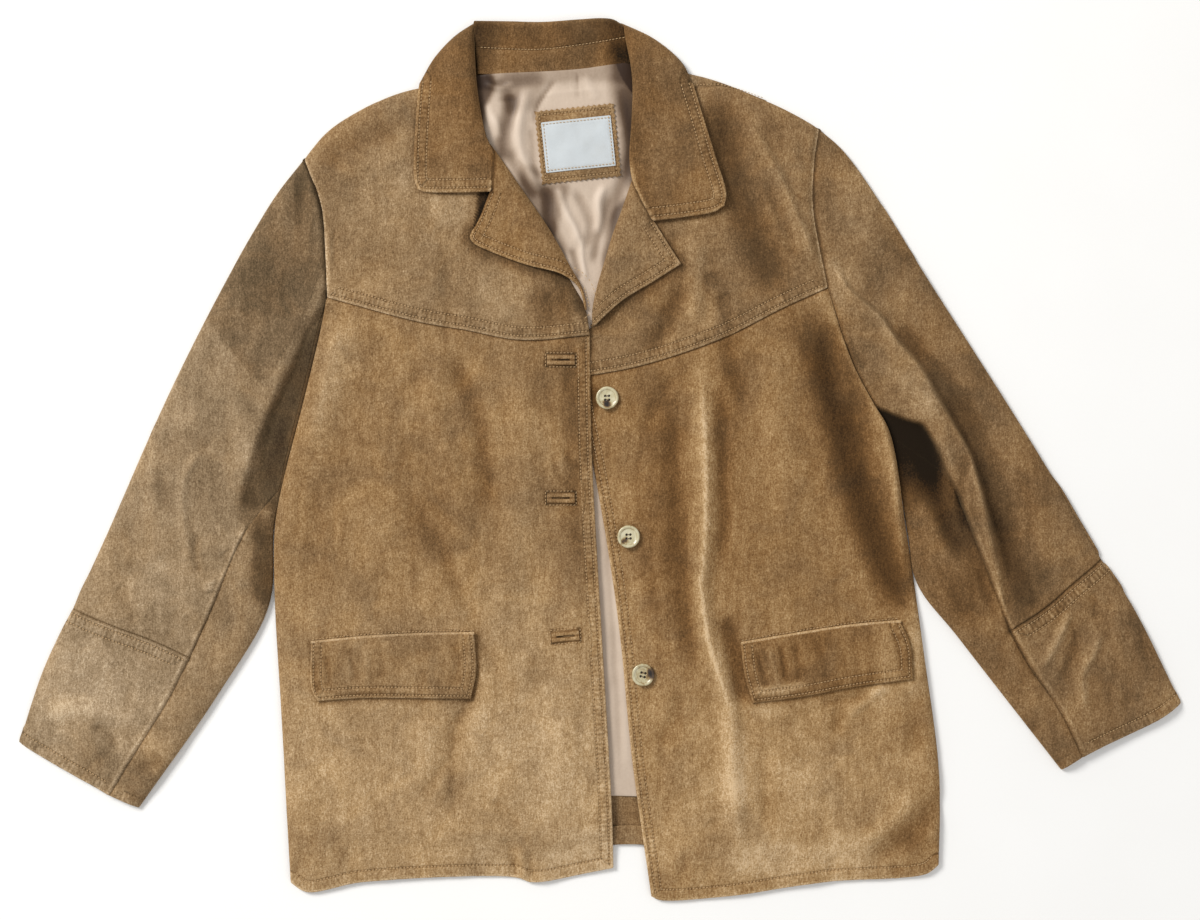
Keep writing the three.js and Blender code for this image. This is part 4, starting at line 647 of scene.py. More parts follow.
def nearest(line, x, y):
    """For each point: its distance from the line, how far along it is, and +1 to the left of it or -1."""
    best = np.full(x.shape, np.inf)
    along, side = np.zeros(x.shape), np.ones(x.shape)
    for (x0, y0), (x1, y1), start in zip(line.points, line.points[1:], line.along):
        dx, dy = x1 - x0, y1 - y0
        length2 = dx * dx + dy * dy
        t = np.clip(((x - x0) * dx + (y - y0) * dy) / length2, 0, 1)
        ex, ey = x - x0 - t * dx, y - y0 - t * dy
        d2 = ex * ex + ey * ey
        closer = d2 < best
        best = np.where(closer, d2, best)
        along = np.where(closer, start + t * math.sqrt(length2), along)
        side = np.where(closer, np.sign(dx * ey - dy * ex), side)
    return np.sqrt(best), along, side


def away(line, x, y):
    return nearest(line, x, y)[0]


class Lumps:
    """Smooth unevenness between -1 and 1, the same each run."""

    COVERS = 700  # out to this far from the origin, each way

    def __init__(self, seed, pitch):
        size = int(2 * self.COVERS / pitch) + 4
        self.values = np.random.default_rng(seed).uniform(-1, 1, (size, size))
        self.pitch = pitch

    def __call__(self, x, y):
        gx, gy = (x + self.COVERS) / self.pitch, (y + self.COVERS) / self.pitch
        i, j = np.floor(gx).astype(int), np.floor(gy).astype(int)
        u, v = ease(gx - i, 0, 1), ease(gy - j, 0, 1)
        low = mix(self.values[i, j], self.values[i + 1, j], u)
        high = mix(self.values[i, j + 1], self.values[i + 1, j + 1], u)
        return mix(low, high, v)


BROAD, MIDDLE, SMALL, TINY = Lumps(1, 62), Lumps(2, 27), Lumps(3, 11), Lumps(4, 5)


def uneven(x, y):
    return 0.75 * BROAD(x, y) + 0.42 * MIDDLE(x, y) + 0.16 * SMALL(x, y) + 0.06 * TINY(x, y)


# ------------------------------------------------------------------------------------------ folds and nap


def rounded(distance, roll):
    """0 at a folded edge, 1 where the cloth has risen: a quarter of an ellipse."""
    return np.sqrt(1 - (1 - np.minimum(distance / roll, 1)) ** 2)


def groove(distance, depth, width):
    return -depth * np.exp(-((distance / width) ** 2))


FOLD_LINES = {name: [(Line(course), *rest) for course, *rest in rows] for name, rows in FOLDS.items()}
FOLD_ENDS = (0.18, 0.82)  # the shares of its length up to which a fold begins, and from which it ends


def folded(name, x, y):
    """What the folds add to the height, and the light and shade painted along them, in stops."""
    rise, shade = np.zeros(x.shape), np.zeros(x.shape)
    for line, height, left, right, sharp, stops in FOLD_LINES[name]:
        reach = max(left, right)
        low, high = line.points.min(0) - reach, line.points.max(0) + reach
        near = (x > low[0]) & (x < high[0]) & (y > low[1]) & (y < high[1])
        if not near.any():
            continue
        distance, along, side = nearest(line, x[near], y[near])
        t = np.minimum(distance / np.where(side > 0, left, right), 1)
        bell = mix(np.cos(t * math.pi / 2) ** 2, (1 - t) ** 2, sharp)
        part = along / line.length
        bell = bell * ease(part, 0, FOLD_ENDS[0]) * (1 - ease(part, FOLD_ENDS[1], 1))
        rise[near] += height * bell
        shade[near] += stops * bell
    return rise, shade


def nap_and_shading(name, x, y):
    """The lighter and darker patches of the nap, and the light and shade painted with them, in stops."""
    shade = np.zeros(x.shape)
    for cx, cy, wide, long, turn, stops in NAP_AND_SHADING[name]:
        c, s = cos_sin(turn)
        across = (c * (x - cx) + s * (y - cy)) / wide
        down = (c * (y - cy) - s * (x - cx)) / long
        wobble = 0.25 * MIDDLE(x, y) + 0.12 * SMALL(x, y)
        shade += stops * (1 - ease(np.hypot(across, down) + wobble, 0.35, 1.35))
    return shade


def pitted(name, x, y):
    """What the outlined hollows add to the height, and the shade painted into them, in stops."""
    rise, shade = np.zeros(x.shape), np.zeros(x.shape)
    for points, soft, fade, depth, stops in PITS[name]:
        line = Line([*points, points[0]])
        inside = np.zeros(x.shape, bool)
        for (x0, y0), (x1, y1) in zip(line.points, line.points[1:]):
            if y0 != y1:
                inside ^= ((y0 > y) != (y1 > y)) & (x < x0 + (y - y0) / (y1 - y0) * (x1 - x0))
        distance = away(line, x, y)
        amount = ease(np.where(inside, distance, -distance) + MIDDLE(x, y), -soft / 2, soft / 2)
        if fade:
            (x0, y0), (x1, y1) = fade
            along = ((x - x0) * (x1 - x0) + (y - y0) * (y1 - y0)) / ((x1 - x0) ** 2 + (y1 - y0) ** 2)
            amount = amount * (1 - ease(along, 0, 1))
        rise += depth * amount
        shade += stops * amount
    return rise, shade


def darkened(lines, x, y):
    """The shade beside the edges of what lies on a piece: each a line, a reach and its stops of light."""
    shade = np.zeros(x.shape)
    for line, reach, stops in lines:
        shade = np.minimum(shade, stops * (1 - ease(away(line, x, y), 0.3, reach)))
    return shade


def turned_to(place, u, v):
    """A point, or many, given across and up a turned rectangle, as x and y."""
    c, s = cos_sin(place["turn"])
    return place["centre"][0] + c * u - s * v, place["centre"][1] + s * u + c * v


def border(place):
    """The four edges of a turned rectangle."""
    a, b = (size / 2 for size in place["size"])
    corners = [turned_to(place, u, v) for u, v in ((-a, b), (a, b), (a, -b), (-a, -b))]
    return [[start, end] for start, end in zip(corners, corners[1:] + corners[:1])]


def lying_on(side):
    """The edges of what lies on one half of the body and casts painted shade on it, as darkened has them."""
    lapel, leaf, flap, dark = LAPEL[side], LEAF[side], FLAP[side], LAPEL_DARK[side]
    rows = [(lapel["lower"], 14, dark), (lapel["notch"], 6, dark), (lapel["lower"], 4, 1.7 * dark),
            (lapel["notch"], 3, 1.5 * dark), (leaf["outer"], 4, -0.45), (leaf["end"], 6, -0.8),
            (flap["left"], 4, -0.8), (flap["right"], 6, -0.9), (flap["foot"], 7, -0.8),
            (moved(flap["top"], 0, 3), 3, -0.3)]
    if side == "right":
        rows.append((YOKE_INNER["left"][:-1] + FRONT_EDGE["left"], 7, -0.8))
    else:
        for place in BUTTONHOLES:
            opening = {**place, "size": [size + LIP_SHADE for size in BOUND["lips"]]}
            rows += [(edge, 2.2, -1.0) for edge in border(opening)]
    return [(Line(points), reach, stops) for points, reach, stops in rows]


LYING = {side: lying_on(side) for side in SIDES}


# ------------------------------------------------------------------------------------------ surfaces
# A surface is a function of x and y that gives a cloth's height and its shade, in stops of light.


def neck_lift(x, y):
    across = 1 - ease(np.abs(x - NECK_CENTRE), NECK_HALF - NECK_FADE, NECK_HALF)
    return NECK_LIFT * across * ease(y, NECK_LIFT_FROM, NECK_LIFT_TO)


def body(side):
    """The cloth on top of one half of the body."""
    side_edge, shoulder, hem = Line(SIDE[side]), Line(SHOULDER[side]), Line(FRONT_HEM[side])
    armhole, yoke_seam = Line(ARMHOLE[side]), Line(YOKE_SEAM[side])
    edge = FRONT_EDGE[side] if side == "left" else YOKE_INNER[side][-3:-1] + FRONT_EDGE[side]
    open_edge = Line(edge)
    armpit = SIDE[side][0][1]

    def surface(x, y):
        below = ease(armpit - y, 0, ARMPIT_DEPTH)
        from_side = mix(1, rounded(away(side_edge, x, y), SIDE_ROLL), below)
        from_shoulder = rounded(away(shoulder, x, y), SHOULDER_ROLL)
        z = mix(EDGE + neck_lift(x, y), TOP, np.minimum(from_side, from_shoulder))
        z = np.minimum(z, mix(HEM_TOP + 0.7 * MIDDLE(x, y), TOP, ease(away(hem, x, y), 0, HEM_ROLL)))
        lowered = 1 - ease(away(open_edge, x, y), OPEN_FLAT[side], OPEN_ROLL[side])
        z = mix(z, np.minimum(z, OPEN_TOP[side]), lowered)
        rise, shade = folded(side, x, y)
        sunk, dark = pitted(side, x, y)
        from_armhole = away(armhole, x, y)
        rise = rise * mix(1, 0.25, lowered) + uneven(x, y) * mix(1, 0.3, lowered)
        z = z + rise + groove(from_armhole, *ARMHOLE_GROOVE) + sunk + groove(away(yoke_seam, x, y), 0.3, 3)
        # lighter: the paler foot, the nap with its painted light and shade, the painted shade beside what
        # lies on this half, and a lighter line beside the armhole seam.
        lighter = PALER_FOOT[side] * ease(-y, PALER_FROM, PALER_TO) + nap_and_shading(side, x, y)
        lighter = lighter + darkened(LYING[side], x, y) + 0.5 * (1 - ease(from_armhole, 0.5, 3.5))
        return z, BASE[side] + shade + lighter + dark

    return surface


def sleeve(side):
    """The cloth on top of a sleeve."""
    rows, name = SLEEVE[side], "sleeve_" + side
    outer = Line(rows["outer"] + rows["cuff_outer"][1:])
    inner, armhole = Line(rows["inner"]), Line(ARMHOLE[side])
    beside_body = Line(rows["inner"][:3])
    end = Line(rows["cuff_end"] + [rows["end"]])
    armpit = SIDE[side][0][1]

    def surface(x, y):
        below = ease(armpit - y, 0, ARMPIT_DEPTH)
        from_inner = mix(1, rounded(away(inner, x, y), SIDE_ROLL), below)
        from_outer = rounded(away(outer, x, y), SIDE_ROLL)
        z = mix(EDGE, TOP, np.minimum(from_inner, from_outer))
        z = z - CUFF_DROP * (1 - ease(away(end, x, y), 0, 30))
        rise, shade = folded(name, x, y)
        sunk, dark = pitted(name, x, y)
        z = z + rise + sunk + uneven(x, y) + groove(away(armhole, x, y), *ARMHOLE_GROOVE)
        # Painted shade along the armhole seam and beside the body's edge.
        dark = dark + darkened([(armhole, 6, -0.5), (armhole, 3.8, -1.9), (beside_body, 3, -0.9)], x, y)
        return np.maximum(z, EDGE - 0.2), BASE[name] + shade + dark + nap_and_shading(name, x, y)

    return surface


BODY = {side: body(side) for side in SIDES}
SLEEVE_TOP = {side: sleeve(side) for side in SIDES}


def yoke(side):
    """A yoke sinks under the lapel, and at its foot it lies over the lower front."""
    lapped, inner_edge = Line(YOKE_SEAM[side]), Line(YOKE_INNER[side])

    def surface(x, y):
        z, shade = BODY[side](x, y)
        from_seam = away(lapped, x, y)
        hidden = (1 - ease(away(inner_edge, x, y), 3, 20)) * ease(y, 118, 140)
        z = mix(z, np.minimum(z, YOKE_SUNK), hidden)
        return z + 1.2 * (1 - ease(from_seam, 8, 26)), shade + 0.15 * (1 - ease(from_seam, 0.3, 2.2))

    return surface


def lower_front(side):
    """A lower front sinks at the yoke seam, where the yoke lies over it, with painted shade under the yoke's
    edge.
    """
    lapped = Line(YOKE_SEAM[side])

    def surface(x, y):
        z, shade = BODY[side](x, y)
        from_seam = away(lapped, x, y)
        return z - 0.7 * (1 - ease(from_seam, 0.5, 6)), shade - 0.6 * (1 - ease(from_seam, 0.6, 3.2))

    return surface


def lapel(side):
    """A lapel rises from its roll over the neck and lies on the yoke."""
    roll, gorge = Line(LAPEL[side]["roll"]), Line(LAPEL[side]["gorge"])
    foot = LAPEL[side]["roll"][-1][1]
    # Painted shade that the collar leaf's inner edge and end cast on the lapel.
    under_leaf = [(Line(LEAF[side]["inner"]), 3.5, -1.7), (Line(LEAF[side]["end"]), 5, -0.9)]

    def surface(x, y):
        under, shade = BODY[side](x, y)
        flat = mix(under, TOP, 0.5) + LAID + FACED * ease(y, foot - 4, foot + 26)
        from_roll = away(roll, x, y)
        puffed = flat + 1.8 * ease(from_roll, 0, 9) * (1 - ease(from_roll, 9, 34)) + 0.4 * uneven(x, y)
        z = mix(LAPEL_ROLL_TOP, puffed, rounded(from_roll, 6))
        dull = 0.1 * MIDDLE(x, y) + groove(away(gorge, x, y), 0.25, 5)
        shown = 0.35 * (shade - darkened(LYING[side], x, y))
        return z, -0.2 + shown + dull + darkened(under_leaf, x, y)

    return surface


def leaf(side):
    """A leaf of the collar stands up at the neck and lies on the yoke and the lapel."""
    inner, top, outer, end = (Line(LEAF[side][k]) for k in ("inner", "top", "outer", "end"))

    def surface(x, y):
        from_inner, from_top, from_outer = (away(line, x, y) for line in (inner, top, outer))
        neck = ease(y, 270, 325)
        flat = TOP + LAID + FACED + 0.6 + 0.7 * uneven(x, y) + 0.8 * (1 - ease(y, 236, 262))
        crest = flat + 3.8 * neck * (1 - ease(from_inner, 4, 50))
        z = mix(crest, mix(LEAF_ROLL_TOP, crest, rounded(from_inner, 9)), neck)
        z = mix(LEAF_BACK_TOP, z, rounded(from_top, 15)) - 0.5 * (1 - ease(from_outer, 0, 12))
        shade = 0.22 * MIDDLE(x, y) + 0.16 * BROAD(x, y) + 0.14 * (1 - ease(from_outer, 4, 22))
        shade = shade - 0.5 * mix(0.7, 1, neck) * (1 - ease(from_inner, 0, 28))
        shade = shade - 0.25 * (1 - ease(from_top, 0, 14))
        # A painted highlight along the leaf's inner edge, low down where it lies on the lapel.
        shade = shade + 1.3 * (1 - ease(from_inner, 0.6, 3)) * (1 - ease(y, 250, 280))
        shade = shade + LEAF_WORN[side] * (1 - ease(away(end, x, y), 6, 22))
        return z, LEAF_SHADE[side] + shade

    return surface


def flap(side):
    """A flap swells in from its sewn edges and lies flat at its top."""
    lines = [Line(FLAP[side][k]) for k in ("left", "right", "foot")]
    top = Line(FLAP[side]["top"])

    def surface(x, y):
        from_edge = np.minimum.reduce([away(line, x, y) for line in lines])
        puffed = 1.3 * rounded(from_edge, 9) - 0.5 * (1 - ease(away(top, x, y), 0, 8))
        rise, shade = folded("flap_" + side, x, y)
        z = mix(BODY[side](x, y)[0], TOP, 0.65) + LAID + FACED + puffed + 0.5 * uneven(x, y) + 1.3 * rise
        patchy = 0.25 * MIDDLE(x, y) + 0.2 * SMALL(x, y)
        return z, BASE[side] + FLAP_SHADE[side] + 1.7 * shade + patchy

    return surface


def welt(side):
    """A welt is a narrow roll along the top of a flap."""
    line = Line(FLAP[side]["top"])

    def surface(x, y):
        up = away(line, x, y) - 0.2
        round_top = np.sqrt(np.clip(1 - (up / (WELT / 2) - 1) ** 2, 0, 1))
        return mix(BODY[side](x, y)[0], TOP, 0.65) + LAID + 0.9 + round_top, 0.75 + 0.2 * SMALL(x, y)

    return surface


def cuff(side):
    """A cuff sinks into the cuff seam and swells below it."""
    cuff_seam = Line(SLEEVE[side]["cuff_seam"])

    def surface(x, y):
        z, shade = SLEEVE_TOP[side](x, y)
        from_seam = away(cuff_seam, x, y)
        swell = 0.6 * (1 - ease(from_seam, 6, 20)) * rounded(from_seam + 0.2, 2)
        return z + swell, shade + CUFF_SHADE[side] + CUFF_SEAM_DARK[side] * (1 - ease(from_seam, 0.2, 2.0))

    return surface


def back_top(x, y):
    return SUEDE + neck_lift(x, y) + 0.25 * MIDDLE(x, y), -0.35 + 0.2 * BROAD(x, y)


def back_hem_top(x, y):
    return 2 * SUEDE + 0.5 + 0.5 * MIDDLE(x, y), -0.3 + 0.2 * MIDDLE(x, y)


STRIP_TOP, STRIP_FOOT = Line(BACK_STRIP["top"]), Line(BACK_STRIP["foot"])


def back_strip_top(x, y):
    dark = darkened([(STRIP_FOOT, 2.2, -0.9)], x, y)
    z = EDGE + neck_lift(x, y) - (1 - rounded(away(STRIP_TOP, x, y), 6))
    return z, dark - 0.1 + 0.2 * MIDDLE(x, y)


LINING_SIDES = [Line(LINING_EDGES[side]) for side in SIDES]


def lining_top(x, y):
    """The lining lies in loose folds, pressed flat round the patch and under the fronts."""
    rise, shade = folded("lining", x, y)
    from_patch = np.hypot((x - PATCH["centre"][0]) / 42, (y - PATCH["centre"][1]) / 40)
    clear = mix(0.15, 1, ease(from_patch, 0.8, 1.25))
    under = np.minimum(*(away(line, x, y) for line in LINING_SIDES))
    loose = 1.7 * ease(y, 120, 200) * ease(under, 0, 14)
    rise = rise * clear * ease(under, 2, 16) + 0.35 * MIDDLE(x, y) + 0.2 * SMALL(x, y) + loose
    z = SUEDE + neck_lift(x, y) + LAID + LINING + np.maximum(rise, -0.35)
    return z, 0.95 * shade * clear - 0.05 + 0.85 * pitted("lining", x, y)[1]


def patch_top(x, y):
    return lining_top(x, y)[0] + 0.3 + SUEDE, -0.15 + 0.25 * MIDDLE(x, y)


def label_top(x, y):
    return patch_top(x, y)[0] + 0.9 + 0.25 * SMALL(x, y), 0 * x


def lips(place, level):
    """The two rolled lips of a bound buttonhole, with the slit between them."""
    (at_x, at_y), (wide, tall), (c, s) = place["centre"], BOUND["lips"], cos_sin(place["turn"])

    def surface(x, y):
        across, up = c * (x - at_x) + s * (y - at_y), c * (y - at_y) - s * (x - at_x)
        from_end = wide / 2 - np.abs(across)
        roll = np.sqrt(np.clip(1 - (4 * np.abs(up) / tall - 1) ** 2, 0, 1))
        slit = (1 - ease(np.abs(up), 0.3, 1.0)) * ease(from_end, 3.2, 4.8)
        z = level + 0.25 + (0.1 + 0.7 * roll) * mix(0.3, 1, ease(from_end, 0, 2.5)) - 0.8 * slit
        # Painted shade in the slit and along the lips' edges, and painted light on the top of each roll.
        return z, -0.3 + 0.3 * SMALL(x, y) - 3.0 * slit - 0.9 * (1 - roll) + 0.3 * roll

    return surface


# ------------------------------------------------------------------------------------------ grids and shells


def steps(length, first, last, pitch):
    """Shares of a length from 0 to 1, a pitch apart, closer together at an end with a seam or a roll."""
    start = np.array(END_STEPS[first])
    end = length - np.array(END_STEPS[last])[::-1]
    count = max(2, round((end[0] - start[-1]) / pitch) + 1)
    middle = np.linspace(start[-1], end[0], count)[1:-1]
    return np.concatenate([start, middle, end]) / length


def coons(top, foot, left, right, us, vs):
    """Points inside four edges, given as arrays of points at us and vs."""
    u, v = us[None, :, None], vs[:, None, None]
    blend = top[None] * (1 - v) + foot[None] * v + left[:, None] * (1 - u) + right[:, None] * u
    corners = (1 - u) * (1 - v) * top[0] + u * (1 - v) * top[-1] + (1 - u) * v * foot[0] + u * v * foot[-1]
    return blend - corners


def panel(top, foot, left, right, ends=PLAIN, pitch=2.6):
    """A grid inside four smooth edges. ends says what lies at the top, foot, left and right."""
    sides = ([top[0], *left[1:-1], foot[0]], [top[-1], *right[1:-1], foot[-1]])
    lines = [Line(points) for points in (top, foot, *sides)]
    us = steps((lines[0].length + lines[1].length) / 2, ends[2], ends[3], pitch)
    vs = steps((lines[2].length + lines[3].length) / 2, ends[0], ends[1], pitch)
    return coons(*(line.at(part) for line, part in zip(lines, (us, us, vs, vs))), us, vs)


def band(top, foot, ends=PLAIN, pitch=2.6):
    """A grid between two lines, with straight ends."""
    return panel(top, foot, [top[0], foot[0]], [top[-1], foot[-1]], ends, pitch)


def lapel_grid(side, pitch=1.9):
    """Rows across a lapel, from its outer edge to its roll, in the order west to east."""
    corner = LAPEL[side]
    way = -1 if side == "left" else 1
    outer = [Line(corner["gorge"][::way]), Line(corner["notch"]), Line(corner["lower"][::-way])]
    whole = sum(line.length for line in outer)
    gone, edge, shares = 0.0, [], []
    for line in outer:
        part = steps(line.length, "plain", "plain", pitch)
        part = part[1:] if edge else part
        edge.append(line.at(part))
        shares.append((gone + part * line.length) / whole)
        gone += line.length
    edge, shares = np.vstack(edge)[1:-1], np.concatenate(shares)[1:-1]
    across = steps(LAPEL_WIDE, "seam", "roll", pitch)[None, :, None]
    grid = mix(edge[:, None], Line(corner["roll"]).at(shares)[:, None], across)
    return grid if side == "left" else grid[:, ::-1]


def rectangle(place, size, pitch, tooth=0.0):
    """A grid in a turned rectangle, with pinked edges if tooth is over 0."""
    us, vs = (np.linspace(-s / 2, s / 2, round(s / pitch) + 1) for s in size)
    gx, gy = np.meshgrid(us, vs[::-1])
    if tooth:
        across, down = (tooth * np.abs((np.arange(len(line)) % 4) - 2) / 2 for line in (us, vs))
        gy[0] += across
        gy[-1] -= across
        gx[:, 0] -= down
        gx[:, -1] += down
    return np.dstack(turned_to(place, gx, gy))


def normals(grid):
    along, down = np.gradient(grid, axis=1), np.gradient(grid, axis=0)
    n = np.cross(down, along)
    length = np.linalg.norm(n, axis=-1, keepdims=True)
    return np.where(length > 1e-9, n / np.maximum(length, 1e-9), (0.0, 0.0, 1.0))


def boundary(rows, cols):
    """The grid's border, clockwise from the top left corner, as rows and columns."""
    r = [*[0] * (cols - 1), *range(rows - 1), *[rows - 1] * (cols - 1), *range(rows - 1, 0, -1)]
    c = [*range(cols - 1), *[cols - 1] * (rows - 1), *range(cols - 1, 0, -1), *[0] * (rows - 1)]
    return np.array(r), np.array(c)


def shell(grid, thickness, fields):
    """A closed sheet with a round rim: the grid, the same moved against its normals, and rings between."""
    rows, cols, _ = grid.shape
    n = normals(grid)
    r, c = boundary(rows, cols)
    rim, up = grid[r, c], n[r, c]
    out = rim - grid[np.clip(r, 1, rows - 2), np.clip(c, 1, cols - 2)]
    out = unit(out - (out * up).sum(-1, keepdims=True) * up)
    half = thickness / 2
    middle = rim - up * half
    rings = [middle + (out * math.cos(a) + up * math.sin(a)) * half for a in (math.pi / 4, 0, -math.pi / 4)]
    points = np.vstack([grid.reshape(-1, 3), (grid - n * thickness).reshape(-1, 3), *rings])
    points[:, 2] = np.maximum(points[:, 2], 0)
    index = np.arange(rows * cols).reshape(rows, cols)
    quads = np.stack([index[:-1, :-1], index[1:, :-1], index[1:, 1:], index[:-1, 1:]], -1).reshape(-1, 4)
    faces = [quads, quads[:, ::-1] + rows * cols]
    edge = index[r, c]
    loops = [edge, *(2 * rows * cols + k * len(r) + np.arange(len(r)) for k in range(3)), edge + rows * cols]
    for upper, lower in zip(loops, loops[1:]):
        faces.append(np.stack([upper, np.roll(upper, -1), np.roll(lower, -1), lower], -1))
    carried = {key: np.concatenate([f.ravel(), f.ravel(), *[f[r, c]] * 3]) for key, f in fields.items()}
    return points, np.vstack(faces), carried


def capped(rings, around):
    """The triangles of rings of points, numbered from 1, with point 0 below them and the last one on top."""
    faces, last = [], 1 + (rings - 1) * around
    for k in range(around):
        after = (k + 1) % around
        faces.append([0, 1 + after, 1 + k])
        faces.append([1 + rings * around, last + k, last + after])
        for ring in range(rings - 1):
            a, b = 1 + ring * around + k, 1 + ring * around + after
            faces += [[a, b, b + around], [a, b + around, a + around]]
    return np.array(faces)


def make(name, points, faces, material, fields=None, nodes=()):
    """A piece in metres from points in millimetres."""
    mesh = bpy.data.meshes.new(name)
    mesh.vertices.add(len(points))
    mesh.vertices.foreach_set("co", (points * MM).astype(np.float32).ravel())
    mesh.loops.add(faces.size)
    mesh.loops.foreach_set("vertex_index", faces.astype(np.int32).ravel())
    mesh.polygons.add(len(faces))
    mesh.polygons.foreach_set("loop_start", np.arange(0, faces.size, faces.shape[1], dtype=np.int32))
    mesh.polygons.foreach_set("use_smooth", np.ones(len(faces), bool))
    mesh.update(calc_edges=True)
    mesh.validate()
    for key, values in (fields or {}).items():
        mesh.attributes.new(key, "FLOAT", "POINT").data.foreach_set("value", values.astype(np.float32))
    mesh.materials.append(material)
    piece = bpy.data.objects.new(name, mesh)
    bpy.context.scene.collection.objects.link(piece)
    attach(piece, "root")
    if nodes:
        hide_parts(*nodes)
    return piece


# ------------------------------------------------------------------------------------------ seams


def seam(points, rows=ROWS, ladder=1.0, wear=1.0, creased=False):
    """A stitched edge: how far in its rows lie, how much it puckers, how worn it is, if it is a crease."""
    return {"line": Line(points), "rows": rows, "ladder": ladder, "wear": wear, "creased": creased}


def seam_fields(seams, x, y):
    """Distances from the nearest edge and its rows, how far along it a point is, and its puckers."""
    edge, row = np.full(x.shape, float(SEAM_REACH)), np.full(x.shape, ROW_REACH)
    along, ladder, wear, holes = (np.zeros(x.shape) for _ in range(4))
    for one in seams:
        rows = one["rows"]
        distance, s, _ = nearest(one["line"], x, y)
        closer = distance < edge
        off = np.minimum.reduce([np.abs(distance - at) for at in rows] + [np.full(x.shape, ROW_REACH)])
        if one["creased"]:
            off = np.minimum(off, 1.3 * distance)
        between = 0
        if one["ladder"] and rows:
            first, second = rows if len(rows) == 2 else (0.8, rows[0])
            between = ease(distance, first - 0.6, first + 1) * (1 - ease(distance, second - 1, second + 0.8))
        worn = one["wear"] * (1 - ease(distance, 0.2, 2.2))
        found = (distance, s, off, float(len(rows) > 0), one["ladder"] * between, worn)
        edge, along, row, holes, ladder, wear = (
            np.where(closer, new, old) for new, old in zip(found, (edge, along, row, holes, ladder, wear)))
    return {"edge": edge, "row": row, "along": along, "ladder": ladder, "wear": wear, "holes": holes}


def stitched_height(fields):
    """What stitching does to the height: a groove under each row, and puckers between two rows."""
    waves = np.sin(fields["along"] * (2 * math.pi / 7.3) + 3 * SMALL(fields["along"], fields["edge"]))
    return groove(fields["row"], 0.35, 1.0) + 0.16 * fields["ladder"] * waves - 0.25 * (fields["edge"] < 1)


def thread_form(length, radius):
    """One stitch: a capsule along x, as points and triangles."""
    angle = np.arange(THREAD_SIDES) * 2 * math.pi / THREAD_SIDES
    points = [[-length / 2, 0, 0]]
    for x, r in THREAD_RINGS:
        points += [[x * length / 2, r * radius * math.cos(a), r * radius * math.sin(a)] for a in angle]
    points.append([length / 2, 0, 0])
    return np.array(points), capped(len(THREAD_RINGS), THREAD_SIDES)


def threads(name, places, ways, material, length=2.2, radius=0.3):
    """Stitches at places, each along its way, as one joined mesh."""
    form, triangles = thread_form(length, radius)
    rng = np.random.default_rng(len(places))
    places, ways = np.array(places), np.array(ways)
    ways = unit(ways + rng.normal(0, 0.05, ways.shape) * [1, 1, 0.2])
    across = unit(np.cross([0, 0, 1], ways))
    frames = np.stack([ways, across, np.cross(ways, across)], axis=1)
    points = np.einsum("kf,nfc->nkc", form, frames) + places[:, None]
    faces = (triangles[None] + len(form) * np.arange(len(places))[:, None, None]).reshape(-1, 3)
    return make(name, points.reshape(-1, 3), faces, material)


def rows_along(line, offset, surface, clear, inside, lift):
    """Places and ways of a row of stitches beside a line, on the side of inside, clear of other edges."""
    part = (np.arange(int(line.length / STITCH_PITCH)) + 0.5) * STITCH_PITCH / line.length
    way = line.tangent(part)
    inward = np.stack([-way[:, 1], way[:, 0]], -1)
    side = nearest(line, *(np.array([float(c)]) for c in inside))[2][0]
    x, y = (line.at(part) + inward * side * offset).T
    kept = np.ones(len(x), bool)
    for other, least in clear:
        kept &= away(other, x, y) >= least
    x, y, way = x[kept], y[kept], way[kept]
    ahead, behind = (surface(x + k * way[:, 0], y + k * way[:, 1])[0] for k in (1, -1))
    places = np.stack([x, y, (ahead + behind) / 2 + lift], -1)
    return places, np.concatenate([way, ((ahead - behind) / 2)[:, None]], -1)


# ------------------------------------------------------------------------------------------ sheets

SHEETS = {}


def flat_size(xy):
    """The smallest rectangle that holds these points, in metres: the cloth that the piece is cut from."""
    best = None
    for degrees in range(0, 90, 3):
        c, s = cos_sin(degrees)
        spans = [float(np.ptp(a)) for a in (c * xy[..., 0] + s * xy[..., 1], c * xy[..., 1] - s * xy[..., 0])]
        if best is None or spans[0] * spans[1] < best[0] * best[1]:
            best = spans
    return tuple(round(span * MM, 4) for span in best)


def area_of(grid):
    """The flat area of a grid in square metres."""
    along, down = np.diff(grid, axis=1)[:-1], np.diff(grid, axis=0)[:, :-1]
    return float(np.linalg.norm(np.cross(along, down), axis=-1).sum()) * MM * MM


def cloth(name, xy, surface, thickness, material=None, seams=(), nodes=(), rests_on=(), warm=0.5,
          others=(), inside=None, trims=(), declared=True):
    """A piece of cloth on a grid of points, with its stitches, listed in SHEETS unless it is a trim."""
    x, y = xy[..., 0], xy[..., 1]
    fields = seam_fields(seams, x, y)
    z, tone = surface(x, y)
    grid = np.dstack([x, y, z + stitched_height(fields)])
    points, faces, carried = shell(grid, thickness, {"tone": tone, "warm": np.full(x.shape, warm), **fields})
    piece = make(name, points, faces, material or SUEDE_LOOK, carried, nodes)
    sewn, places, ways = list(trims), [], []
    for one in seams:
        for offset in one["rows"]:
            clear = [(other["line"], 1.0 if other["rows"] == (0,) else offset - 0.3)
                     for other in seams if other is not one]
            clear += [(other, 1.2) for other in others]
            found = rows_along(one["line"], offset, surface, clear, inside or (x.mean(), y.mean()), lift=0.02)
            places.extend(found[0])
            ways.extend(found[1])
    if places:
        sewn.append(threads(name + "_stitches", places, ways, THREAD))
    if declared:
        flat = flat_size(xy)
        SHEETS[name] = (piece, flat, "laid", rests_on, round(min(area_of(grid), flat[0] * flat[1]), 6), sewn)
    return piece


# ------------------------------------------------------------------------------------------ materials


